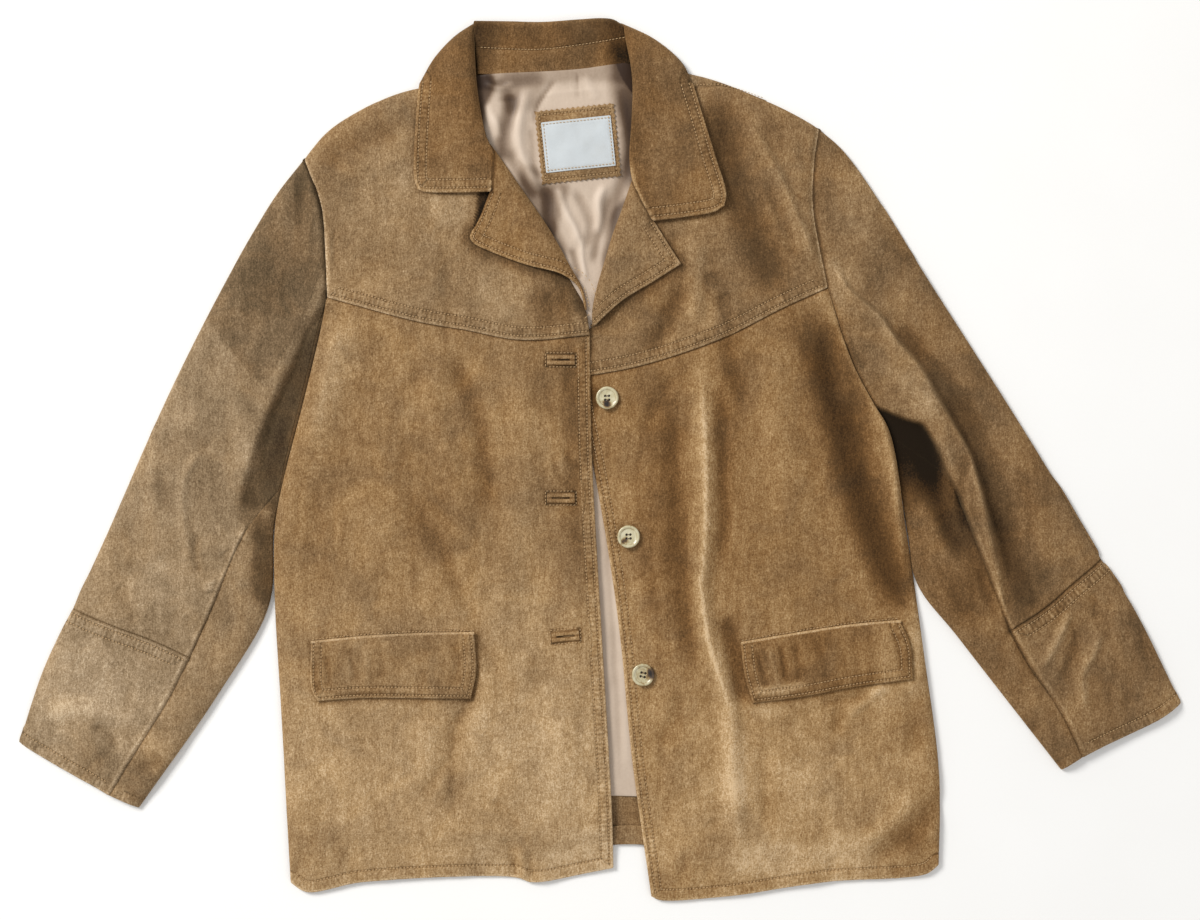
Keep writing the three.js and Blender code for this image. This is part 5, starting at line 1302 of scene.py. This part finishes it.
def linear(colour):
    """An sRGB colour from 0 to 255 as linear RGBA."""
    parts = [c / 255 for c in colour]
    return (*(c / 12.92 if c <= 0.04045 else ((c + 0.055) / 1.055) ** 2.4 for c in parts), 1.0)


class Look:
    """A node material, put together a node at a time. Its coordinates are in millimetres."""

    def __init__(self, name):
        self.material = bpy.data.materials.new(name)
        self.material.use_nodes = True
        self.tree = self.material.node_tree
        self.tree.nodes.clear()
        place = self.node("TexCoord").outputs["Object"]
        self.place = self.node("VectorMath", {0: place, "Scale": 1 / MM}, operation="SCALE").outputs[0]

    def node(self, kind, inputs=None, **settings):
        made = self.tree.nodes.new("ShaderNode" + kind)
        for key, value in settings.items():
            setattr(made, key, value)
        for key, value in (inputs or {}).items():
            if isinstance(value, bpy.types.NodeSocket):
                self.tree.links.new(value, made.inputs[key])
            else:
                made.inputs[key].default_value = value
        return made

    def axes(self):
        return self.node("SeparateXYZ", {0: self.place}).outputs

    def math(self, operation, *values):
        return self.node("Math", dict(enumerate(values)), operation=operation).outputs[0]

    def times(self, a, b):
        return self.math("MULTIPLY", a, b)

    def sum(self, *terms):
        """The sum of its terms, each a value, or a value and what it is multiplied by."""
        amount = None
        for term in terms:
            term = self.times(*term) if isinstance(term, tuple) else term
            amount = term if amount is None else self.math("ADD", amount, term)
        return amount

    def scaled(self, value, by, plus):
        return self.math("MULTIPLY_ADD", value, by, plus)

    def wave(self, kind, value, length):
        return self.math(kind, self.times(value, 2 * math.pi / length))

    def ease(self, value, low, high, out_low=0.0, out_high=1.0):
        inputs = {"Value": value, "From Min": low, "From Max": high, "To Min": out_low, "To Max": out_high}
        return self.node("MapRange", inputs, interpolation_type="SMOOTHSTEP").outputs["Result"]

    def noise(self, scale, detail=2.0, stretch=None, rough=0.5, distortion=0.0):
        """Smooth noise from about -1 to 1, with scale in waves per millimetre."""
        place = self.place
        if stretch:
            place = self.node("VectorMath", {0: place, 1: stretch}, operation="MULTIPLY").outputs[0]
        inputs = {"Vector": place, "Scale": scale, "Detail": detail, "Roughness": rough,
                  "Distortion": distortion}
        return self.scaled(self.node("TexNoise", inputs).outputs["Fac"], 4.0, -2.0)

    def carried(self, name):
        return self.node("Attribute", attribute_name=name).outputs["Fac"]

    def ramp(self, value, stops):
        made = self.node("ValToRGB", {"Fac": value})
        elements = made.color_ramp.elements
        while len(elements) < len(stops):
            elements.new(0.5)
        for element, (at, colour) in zip(elements, stops):
            element.position, element.color = at, linear(colour)
        return made.outputs["Color"]

    def blend(self, part, low, high):
        return self.node("Mix", {0: part, 6: low, 7: high}, data_type="RGBA").outputs[2]

    def finish(self, colour, height, **settings):
        """The material, with this colour and bump, and with the shader's settings on its own sockets."""
        bump = self.node("Bump", {"Strength": 1.0, "Distance": MM, "Height": height}).outputs[0]
        inputs = {key.replace("_", " "): value for key, value in settings.items()}
        surface = self.node("BsdfPrincipled", {"Base Color": colour, "Normal": bump, **inputs})
        self.node("OutputMaterial", {"Surface": surface.outputs[0]})
        return self.material


def suede():
    look = Look("suede")
    fine, hairs = look.noise(0.75, 3.0, rough=0.65), look.noise(0.8, 2.0, (1.0, 0.35, 1.0))
    blotch, streaks = look.noise(0.11, 3.0, rough=0.6), look.noise(0.16, 2.0, (1.0, 0.22, 1.0))
    cloud = look.noise(0.022, 3.0, rough=0.55, distortion=0.6)
    crease = look.noise(0.16, 3.0, rough=0.6, distortion=0.4)
    row, along = look.carried("row"), look.carried("along")
    stitched = look.ease(row, 0.2, 1.7, 1.0, 0.0)
    beat = look.ease(look.wave("COSINE", along, STITCH_PITCH), 0.2, 0.85)
    hole = look.times(look.times(beat, look.ease(row, 0.5, 1.2, 1.0, 0.0)), look.carried("holes"))
    puckers = look.sum((look.wave("SINE", along, PUCKER_PITCH), 0.5), (blotch, 0.5))
    ladder = look.times(look.carried("ladder"), puckers)
    wear = look.times(look.carried("wear"), look.scaled(fine, 0.5, 0.8))
    # stitched and hole paint shade into the stitch grooves and the needle holes, and ladder paints light and
    # shade across the puckers.
    tone = look.sum(look.carried("tone"), (fine, 0.82), (hairs, 0.5), (blotch, 0.24), (streaks, 0.24),
                    (cloud, 0.4), (stitched, -0.2), (hole, -0.6), (ladder, 0.5), (wear, 0.55))
    at = look.scaled(tone, 1 / STOPS_WIDE, -DARKEST / STOPS_WIDE)
    warm = look.sum(look.carried("warm"), (cloud, 0.3))
    colour = look.blend(warm, *(look.ramp(at, list(zip(RAMP_PLACES, colours))) for colours in (COOL, WARM)))
    height = look.sum((fine, 0.1), (hairs, 0.08), (crease, 0.22), (blotch, 0.12), (stitched, -0.25),
                      (ladder, 0.2), (hole, -0.3))
    return look.finish(colour, height, Roughness=0.95, Specular_IOR_Level=0.12, Sheen_Weight=0.3,
                       Sheen_Roughness=0.5, Sheen_Tint=linear((214, 180, 130)))


def satin():
    look = Look("satin")
    ribs = look.math("SINE", look.times(look.axes()[0], 5.2))
    cloud, fine = look.noise(0.03, 2.0), look.noise(0.5, 2.0)
    tone = look.sum(look.carried("tone"), (cloud, 0.1), (fine, 0.04), (ribs, 0.03))
    stops = [(0.0, (52, 35, 23)), (0.2, (94, 74, 57)), (0.4, (155, 135, 116)), (0.6, (200, 181, 162)),
             (1.0, (230, 213, 196))]
    height = look.sum((look.noise(0.1, 3.0, (1.0, 0.5, 1.0), rough=0.55), 0.12), (ribs, 0.012))
    return look.finish(look.ramp(look.scaled(tone, 0.4, 0.6), stops), height, Roughness=0.48,
                       Specular_IOR_Level=0.22, Sheen_Weight=0.05, Anisotropic=0.4)


def woven_label():
    look = Look("woven_label")
    axes = look.axes()
    weave = look.times(*(look.math("SINE", look.times(axes[k], 7.0)) for k in (0, 1)))
    tone = look.sum(look.carried("tone"), (weave, 0.1), (look.noise(0.08, 2.0), 0.08))
    stops = [(0.0, (112, 104, 92)), (0.35, (170, 166, 156)), (0.6, (199, 205, 208)), (1.0, (222, 228, 231))]
    return look.finish(look.ramp(look.scaled(tone, 0.5, 0.6), stops), look.times(weave, 0.05), Roughness=0.7,
                       Specular_IOR_Level=0.3, Sheen_Weight=0.2)


def thread_look(name, colours):
    look = Look(name)
    twist = look.noise(1.6, 2.0)
    colour = look.ramp(look.scaled(twist, 0.3, 0.5), list(zip((0.0, 0.5, 1.0), colours)))
    return look.finish(colour, look.times(twist, 0.04), Roughness=0.7, Specular_IOR_Level=0.3,
                       Sheen_Weight=0.2)


def horn():
    look = Look("horn")
    cloud = look.noise(0.11, 4.0, (1.0, 0.7, 1.0), rough=0.6, distortion=1.4)
    fibre = look.noise(0.5, 3.0, (1.0, 0.25, 1.0), distortion=0.8)
    tone = look.sum(look.carried("tone"), (cloud, 0.45), (fibre, 0.14))
    stops = [(0.0, (26, 18, 12)), (0.26, (84, 62, 38)), (0.42, (146, 120, 76)), (0.6, (188, 178, 142)),
             (1.0, (226, 220, 192))]
    colour = look.ramp(look.scaled(tone, 0.5, 0.62), stops)
    return look.finish(colour, look.times(fibre, 0.02), Roughness=0.32, Specular_IOR_Level=0.5,
                       Coat_Weight=0.4, Coat_Roughness=0.15)


def paper_floor():
    look = Look("paper_floor")
    grain, cloud = look.noise(0.8, 3.0), look.noise(0.01, 2.0)
    stops = [(0.0, (244, 243, 241)), (1.0, (252, 252, 251))]
    colour = look.ramp(look.sum(0.5, (grain, 0.06), (cloud, 0.1)), stops)
    return look.finish(colour, look.times(grain, 0.02), Roughness=0.9, Specular_IOR_Level=0.1)


SUEDE_LOOK, SATIN_LOOK, LABEL_LOOK, HORN = suede(), satin(), woven_label(), horn()
THREAD = thread_look("thread", ((150, 118, 76), (194, 160, 114), (220, 190, 146)))
DARK_THREAD = thread_look("button_thread", ((64, 48, 32), (96, 76, 52), (128, 104, 76)))

# ------------------------------------------------------------------------------------------ back and lining

back_sides = [ARMHOLE[side] + SIDE[side][1:] for side in SIDES]
back_xy = panel(BACK_SHOULDERS, BACK_HEM, *back_sides, pitch=8)
back = cloth("back_panel", back_xy, back_top, SUEDE, nodes=("back",))

hem_foot = [(min(max(x, TURN_UP_FROM), TURN_UP_TO), y) for x, y in BACK_HEM[1:4]]
hem_xy = band(moved(hem_foot, 0, TURN_UP), hem_foot, ("plain", "roll", "plain", "plain"))
cloth("back_hem_turn", hem_xy, back_hem_top, SUEDE, nodes=("back_hem",), rests_on=(back,))

lining_xy = panel(*(LINING_EDGES[edge] for edge in ("top", "foot", "left", "right")), pitch=2.1)
lining = cloth("lining_satin", lining_xy, lining_top, LINING, SATIN_LOOK, nodes=("lining",), rests_on=(back,))

strip_xy = band(BACK_STRIP["top"], BACK_STRIP["foot"], ("roll", "plain", "plain", "plain"), pitch=1.6)
strip_seams = [seam(BACK_STRIP["foot"], (2.4,), 0)]
SHEETS["back_panel"][-1].append(
    cloth("back_strip", strip_xy, back_strip_top, SUEDE, seams=strip_seams, declared=False))

# ------------------------------------------------------------------------------------------ yokes and fronts

for side in SIDES:
    warmth, yoke_seam, front_edge, hem = WARMTH[side], YOKE_SEAM[side], FRONT_EDGE[side], FRONT_HEM[side]
    yoke_xy = panel(SHOULDER[side], yoke_seam, *west_first(side, ARMHOLE[side], YOKE_INNER[side]),
                    ("roll", "seam", *west_first(side, "seam", "plain")), pitch=2.2)
    seams = [seam(yoke_seam), seam(ARMHOLE[side], (), 0.8, 1.0)]
    cloth("yoke_cloth_" + side, yoke_xy, yoke(side), FRONT, None, seams, ("yoke_" + side,),
          rests_on=(back, lining), inside=YOKE_INSIDE[side], warm=warmth["yoke"])

    front_xy = panel(yoke_seam, hem, *west_first(side, SIDE[side], front_edge),
                     ("seam", "seam", *west_first(side, "roll", "seam")), pitch=2.6)
    seams = [seam(front_edge, FRONT_ROWS[side]), seam(hem, (9.5,), 0.5, 1.4), seam(yoke_seam, (), 0, 0),
             seam(moved(FLAP[side]["top"], 0, 4.2), (0,), 0, 0.3)]
    if side == "left":
        frames = [{**place, "size": BOUND["frame"]} for place in BUTTONHOLES]
        seams += [seam(edge, (0,), 0, 0) for frame in frames for edge in border(frame)]
    cloth("front_cloth_" + side, front_xy, lower_front(side), FRONT, None, seams, ("front_" + side,),
          rests_on=(back, "front_cloth_right" if side == "left" else lining),
          inside=FRONT_INSIDE[side], warm=warmth["front"])

# ------------------------------------------------------------------------------------------ lapels and collar

for side in SIDES:
    edges = LAPEL[side]
    seams = [seam(edges["notch"], (2.6, 10), 0.5), seam(edges["lower"], (2.6, 10), 0.5),
             seam(edges["gorge"], (), 0, 0.8)]
    cloth("lapel_cloth_" + side, lapel_grid(side), lapel(side), FACED, None, seams, ("lapel_" + side,),
          rests_on=("yoke_cloth_" + side,), others=(Line(edges["roll"]), Line(edges["gorge"])),
          warm=WARMTH[side]["lapel"])

    edges = LEAF[side]
    leaf_xy = panel(edges["top"], edges["end"], *west_first(side, edges["outer"], edges["inner"]),
                    ("roll", "seam", *west_first(side, "seam", "roll")), pitch=1.9)
    seams = [seam(edges["outer"]), seam(edges["end"])]
    cloth("collar_cloth_" + side, leaf_xy, leaf(side), FACED, None, seams, ("collar_leaf_" + side,),
          rests_on=("yoke_cloth_" + side, "lapel_cloth_" + side),
          others=(Line(edges["top"]),), warm=WARMTH[side]["leaf"])


def collar_back():
    """The collar's stand inside the neck, its fold at the top, and its fall beneath the back."""
    radius = COLLAR_CREST / 2
    seam_height = SUEDE + NECK_LIFT + LAID + FACED
    us = np.linspace(0, 1, 64)
    fold, foot = Line(COLLAR_BACK["fold"]).at(us), Line(COLLAR_BACK["seam"]).at(us)
    crest_y, flat = fold[:, 1] - radius, 0 * us
    falls = (share * COLLAR_FALL for share in (1, 0.75, 0.5, 0.25))
    rows = [np.stack([fold[:, 0], fold[:, 1] - fall, flat], -1) for fall in falls]
    for angle in np.radians(np.linspace(-90, 90, 17)):
        y, z = crest_y + radius * math.cos(angle), flat + radius + radius * math.sin(angle)
        rows.append(np.stack([fold[:, 0], y, z], -1))
    crest = rows[-1]
    for step in np.linspace(0, 1, 26)[1:]:
        level = mix(crest[:, 2], seam_height, ease(step, -0.1, 1.0))
        x, y = (mix(crest[:, k], foot[:, k], step) for k in (0, 1))
        rows.append(np.stack([x, y, level + 0.5 * uneven(x, y + 60) * math.sin(math.pi * step)], -1))
    grid = np.stack(rows)
    x, y, z = grid[..., 0], grid[..., 1], grid[..., 2]
    above = np.arange(len(grid))[:, None] > 12
    apart = np.where(above, y - foot[None, :, 1], 60.0)
    stitched = seam(COLLAR_BACK["seam"], (COLLAR_STITCH,))
    fields = seam_fields([stitched], x, y)
    fields["row"] = np.where(above, np.minimum(np.abs(apart - COLLAR_STITCH), ROW_REACH), ROW_REACH)
    fields["holes"], fields["ladder"] = above + np.zeros(x.shape), np.zeros(x.shape)
    streaks = SMALL(x * 1.3, y * 0.25) * ease(apart, 22, 30)
    bands = -0.15 * ease(apart, 3, 8) * (1 - ease(apart, 14, 20)) - 0.5 * ease(apart, 22, 25)
    bands = bands - 0.25 * (apart > 60)
    # Painted shade in the collar's inside corners at both ends.
    dark = -3.0 * ease(x + 0.2 * (y - 350), 3, 23) * mix(1, 0.45, ease(y, 366, 380))
    dark = dark - 1.3 * (1 - ease(x, -112, -91))
    tone = -0.8 + dark + 0.2 * MIDDLE(x, y) + bands + 0.3 * streaks + 0.3 * ease(apart, 40, 45)
    grid[..., 2] = z + groove(fields["row"], 0.3, 1.0) * above
    warm = np.full(x.shape, WARMTH["left"]["leaf"])
    points, faces, carried = shell(grid, FACED, {"tone": tone, "warm": warm, **fields})
    piece = make("collar_cloth_back", points, faces, SUEDE_LOOK, carried, ("collar_back",))

    def stand(px, py):
        down = (crest[:, 1].mean() - py) / 40
        return mix(crest[:, 2].mean(), seam_height, ease(down, -0.1, 1.0)), 0 * px

    sewn = threads("collar_back_stitches",
                   *rows_along(stitched["line"], COLLAR_STITCH, stand, [], COLLAR_INSIDE, lift=0.12), THREAD)
    SHEETS[piece.name] = (piece, COLLAR_BACK_FLAT, "folded", (back,), None, [sewn])


collar_back()

# ------------------------------------------------------------------------------------------ sleeves


def row_share(row):
    """How far along a sleeve's inner edge one of its rows lies."""
    if row <= CUFF_ROW:
        return CUFF_SEAM_AT * row / CUFF_ROW
    return mix(CUFF_SEAM_AT, 1, (row - CUFF_ROW) / (END_ROW - CUFF_ROW))


def sleeve_lines(side):
    """The numbers of a sleeve's rows, and points down its inner edge and down the seam or fold beside it."""
    rows = SLEEVE[side]
    inner, fold = Line(rows["inner"]), Line(rows["fold"])
    turn = 1 if side == "left" else -1

    def beside(row):
        way = inner.tangent(row_share(row))
        return inner.at(row_share(row)) + np.array([way[1], -way[0]]) * turn * STRIP

    start = rows["seam_row"]
    seam_line = Line([beside(start), *rows["seam"]])
    numbers = np.linspace(0, END_ROW, ROW_PARTS * END_ROW + 1)
    seam_points = []
    for row in numbers:
        if row <= start:
            seam_points.append(beside(row))
        elif row <= CUFF_ROW:
            seam_points.append(seam_line.at((row - start) / (CUFF_ROW - start)))
        else:
            seam_points.append(fold.at((row - CUFF_ROW) / (END_ROW - CUFF_ROW)))
    return numbers, np.array([inner.at(row_share(row)) for row in numbers]), np.array(seam_points)


def under_sleeve(side):
    """The lower half of a sleeve: flat on the floor, round the inner edge, and up to the seam on top."""
    rows, surface, radius = SLEEVE[side], SLEEVE_TOP[side], EDGE / 2
    numbers, inner, seam_points = sleeve_lines(side)
    us, vs = np.linspace(0, 1, 40), numbers / END_ROW
    end = rows["cuff_end"] + [rows["end"]]
    outer = Line(rows["outer"] + rows["cuff_outer"][1:]).at(vs)
    floor = coons(Line(ARMHOLE[side]).at(us), Line(end).at(us), outer, inner, us, vs)
    inwards = unit(seam_points - inner)
    crest = inner + inwards * radius
    columns = []
    for step in np.linspace(0, 1, 18)[:-1]:
        points = mix(seam_points, crest, step)
        z, tone = surface(*points.T)
        columns.append((np.column_stack([points, z - UNDER_BY]), tone))
    z_crest, tone_crest = surface(*crest.T)
    for angle in np.radians(np.linspace(90, -90, 11)):
        points = inner + inwards * radius * (1 - math.cos(angle))
        top = np.where(angle > 0, (z_crest - EDGE - UNDER_BY) * math.sin(angle), 0)
        columns.append((np.column_stack([points, radius * (1 + math.sin(angle)) + top]), tone_crest))
    columns += [(np.column_stack([floor[:, k], 0 * vs]), 0 * vs - 0.3) for k in range(len(us) - 2, -1, -1)]
    grid, tone = (np.stack(part, axis=1) for part in zip(*columns))
    if side == "right":
        grid, tone = grid[:, ::-1], tone[:, ::-1]
    x, y = grid[..., 0], grid[..., 1]
    seam_points = seam_points[numbers >= rows["seam_row"]][::ROW_PARTS]
    fields = seam_fields([seam(end, (9.0,), 0.7), seam(seam_points, (), 0, 0.5, True)], x, y)
    for key, value in (("row", ROW_REACH), ("ladder", 0.0), ("wear", 0.0)):
        fields[key] = np.where(grid[..., 2] < 1, value, fields[key])
    warm = np.full(x.shape, WARMTH[side]["under_sleeve"])
    points, faces, carried = shell(grid, SUEDE, {"tone": tone, "warm": warm, **fields})
    piece = make("under_sleeve_" + side, points, faces, SUEDE_LOOK, carried, ("sleeve_under_" + side,))
    SHEETS[piece.name] = (piece, flat_size(floor), "folded", (), round(area_of(grid), 4), [])


for side in SIDES:
    under_sleeve(side)
    rows, head, way = SLEEVE[side], ARMHOLE[side], 1 if side == "left" else -1
    cuff_seam, end = rows["cuff_seam"], rows["cuff_end"]
    numbers, _, seam_points = sleeve_lines(side)
    upper = list(seam_points[numbers <= CUFF_ROW][::ROW_PARTS])
    fold = list(seam_points[numbers >= CUFF_ROW][::ROW_PARTS])
    sleeve_xy = panel(head[::way], cuff_seam[::way], *west_first(side, rows["outer"], upper),
                      ("seam", "seam", *west_first(side, "roll", "seam")), pitch=2.2)
    seams = [seam(head, (), 0.8, 0.2, True), seam(cuff_seam, (), 0.5, 0.0, True),
             seam(upper[rows["seam_row"]:], (), 0, 0.4, True)]
    cloth("sleeve_cloth_" + side, sleeve_xy, SLEEVE_TOP[side], FRONT, None, seams, ("sleeve_top_" + side,),
          rests_on=("under_sleeve_" + side,), warm=WARMTH[side]["sleeve"])

    cuff_xy = panel(cuff_seam[::way], end[::way], *west_first(side, rows["cuff_outer"], fold),
                    ("seam", "seam", *west_first(side, "roll", "plain")), pitch=1.9)
    seams = [seam(cuff_seam, (3.5, 12), CUFF_LADDER[side]), seam(end, (9.0,), 0.7),
             seam(fold, (), 0, 0.6, True)]
    cloth("cuff_cloth_" + side, cuff_xy, cuff(side), FRONT, None, seams, ("cuff_" + side,),
          rests_on=("under_sleeve_" + side,), warm=WARMTH[side]["sleeve"])

# ------------------------------------------------------------------------------------------ pockets

for side in SIDES:
    edges, warm = FLAP[side], WARMTH[side]["flap"]
    welt_foot = moved(edges["top"], 0, 0.2)
    welt_xy = band(moved(welt_foot, 0, WELT), welt_foot, pitch=0.5)
    piping = cloth("welt_cloth_" + side, welt_xy, welt(side), 1.0, nodes=("welt_" + side,), warm=warm,
                   declared=False)
    flap_xy = panel(*(edges[edge] for edge in ("top", "foot", "left", "right")),
                    ("plain", "seam", "seam", "seam"), pitch=1.7)
    seams = [seam(edges[edge], (2.4, 9.4), 0.6) for edge in ("left", "right", "foot")]
    cloth("flap_cloth_" + side, flap_xy, flap(side), FACED, None, seams, ("flap_" + side,),
          rests_on=("front_cloth_" + side,), others=(Line(edges["top"]),), warm=warm, trims=(piping,))

# ------------------------------------------------------------------------------------------ patch and label

seams = [seam(edge, (2.6,), 0, 0.5) for edge in border(PATCH)]
patch_xy = rectangle(PATCH, PATCH["size"], 1.2, 1.3)
cloth("patch_cloth", patch_xy, patch_top, SUEDE, None, seams, ("neck_patch",), rests_on=(lining,), warm=0.6)
seams = [seam(edge, (1.6,), 0, 0.5) for edge in border(LABEL)]
cloth("label_cloth", rectangle(LABEL, LABEL["size"], 0.8), label_top, 0.8, LABEL_LOOK, seams, ("label",),
      rests_on=("patch_cloth",))

# ------------------------------------------------------------------------------------------ buttons


def highest(surface, at, reach):
    """The height of the highest place within reach of a point."""
    gx, gy = np.meshgrid(np.linspace(-reach, reach, 9), np.linspace(-reach, reach, 9))
    return float(surface(at[0] + gx, at[1] + gy)[0].max())


for number, place in enumerate(BUTTONHOLES, 1):
    level = highest(BODY["left"], place["centre"], 5) + 0.1
    bound = cloth("lips_%d" % number, rectangle(place, BOUND["lips"], 0.55), lips(place, level), 0.9,
                  nodes=("buttonhole_%d" % number,), warm=0.75, declared=False)
    SHEETS["front_cloth_left"][-1].append(bound)


def button(number, at, turn, marbling):
    """A turned four-hole button, with its thread."""
    radius, hole, pitch = BUTTON["radius"], BUTTON["hole"], BUTTON["pitch"]
    level = highest(BODY["right"], at, radius * 0.6) + 0.2
    under, face = (Line([(r * radius, z) for r, z in part]) for part in (BUTTON_UNDER, BUTTON_FACE))
    rings = np.vstack([under.at(np.linspace(0, 1, 26)[1:]), face.at(np.linspace(0, 1, 64)[1:-1])])
    angle = np.arange(BUTTON_SIDES) * 2 * math.pi / BUTTON_SIDES
    r, z = rings[:, :1], rings[:, 1:]
    x, y = r * np.cos(angle), r * np.sin(angle)
    on_face = (np.arange(len(rings)) >= 25)[:, None] & (r < radius * 0.6)
    from_hole = np.hypot(np.abs(x) - pitch, np.abs(y) - pitch)
    sunk = (1 - ease(from_hole, hole - 0.25, hole + 0.15)) * on_face
    c, s = cos_sin(turn)
    east, north, reach, stops = marbling
    from_dark = np.hypot(x - (c * east + s * north), y - (c * north - s * east))
    dark = stops * (1 - ease(from_dark + 1.3 * SMALL(x * 2 + 7 * at[1], y * 2), 0.1 * reach, 1.35 * reach))
    light = 0.16 * SMALL(x * 0.8 + 3 * at[1], y * 0.8)
    share = r / radius
    ring, rim = 1 - ease(np.abs(share - 0.72), 0.015, 0.05), ease(share, 0.93, 1.0)
    # The sunk holes are painted darker as shade.
    tone = light - 1.4 * sunk + dark - 0.25 * ring - 0.3 * rim
    sides = np.stack([x, y, z - 1.7 * sunk], -1).reshape(-1, 3)
    points = np.vstack([[0, 0, rings[0, 1]], sides, [0, 0, BUTTON_FACE[-1][1]]])
    spin, place = np.array([[c, s, 0], [-s, c, 0], [0, 0, 1]]), np.array([*at, level])
    name = "button_horn_%d" % number
    make(name, points @ spin + place, capped(len(rings), BUTTON_SIDES), HORN,
         {"tone": np.concatenate([[0.0], tone.ravel(), [0.0]])}, ("button_%d" % number,))
    strands = [(0, dy + shift, 2.7) for dy in (-pitch, pitch) for shift in (-0.2, 0.2)]
    threads(name + "_thread", strands @ spin + place, [spin[0]] * len(strands), DARK_THREAD, 2 * pitch, 0.2)


for number, (at, turn, marbling) in enumerate(BUTTONS, 1):
    button(number, at, turn, marbling)

# ------------------------------------------------------------------------------------------ the studio

bpy.ops.mesh.primitive_plane_add(size=24, location=(0, 0, -0.0004))
floor = bpy.context.object
floor.name = "floor"
floor.data.materials.append(paper_floor())


def placed(name, data, place):
    made = bpy.data.objects.new(name, data)
    bpy.context.scene.collection.objects.link(made)
    made.location = place
    return made


def area_light(name, place, size, power, colour):
    """A square light that faces the coat."""
    data = bpy.data.lights.new(name, "AREA")
    data.shape, data.size, data.size_y = "RECTANGLE", size, size
    data.energy, data.color = power, colour
    placed(name, data, place).rotation_euler = (-Vector(place)).to_track_quat("-Z", "Y").to_euler()


area_light("window", (-2.9, 2.2, 2.7), 1.5, 190, (1.0, 0.985, 0.96))
area_light("fill", (2.4, -2.0, 3.2), 2.4, 26, (1.0, 0.98, 0.95))

scene = bpy.context.scene
world = bpy.data.worlds.new("studio")
world.use_nodes = True
sky = world.node_tree.nodes["Background"].inputs
sky["Color"].default_value, sky["Strength"].default_value = (1.0, 1.0, 1.0, 1.0), 0.5
scene.world = world
scene.view_settings.view_transform = "Standard"
scene.view_settings.look = "None"

lens = bpy.data.cameras.new("camera")
lens.lens, lens.sensor_width = 50, 36
scene.camera = placed("camera", lens, (0, -0.0009, 1.506))

for piece, flat, held, rests_on, area, with_pieces in SHEETS.values():
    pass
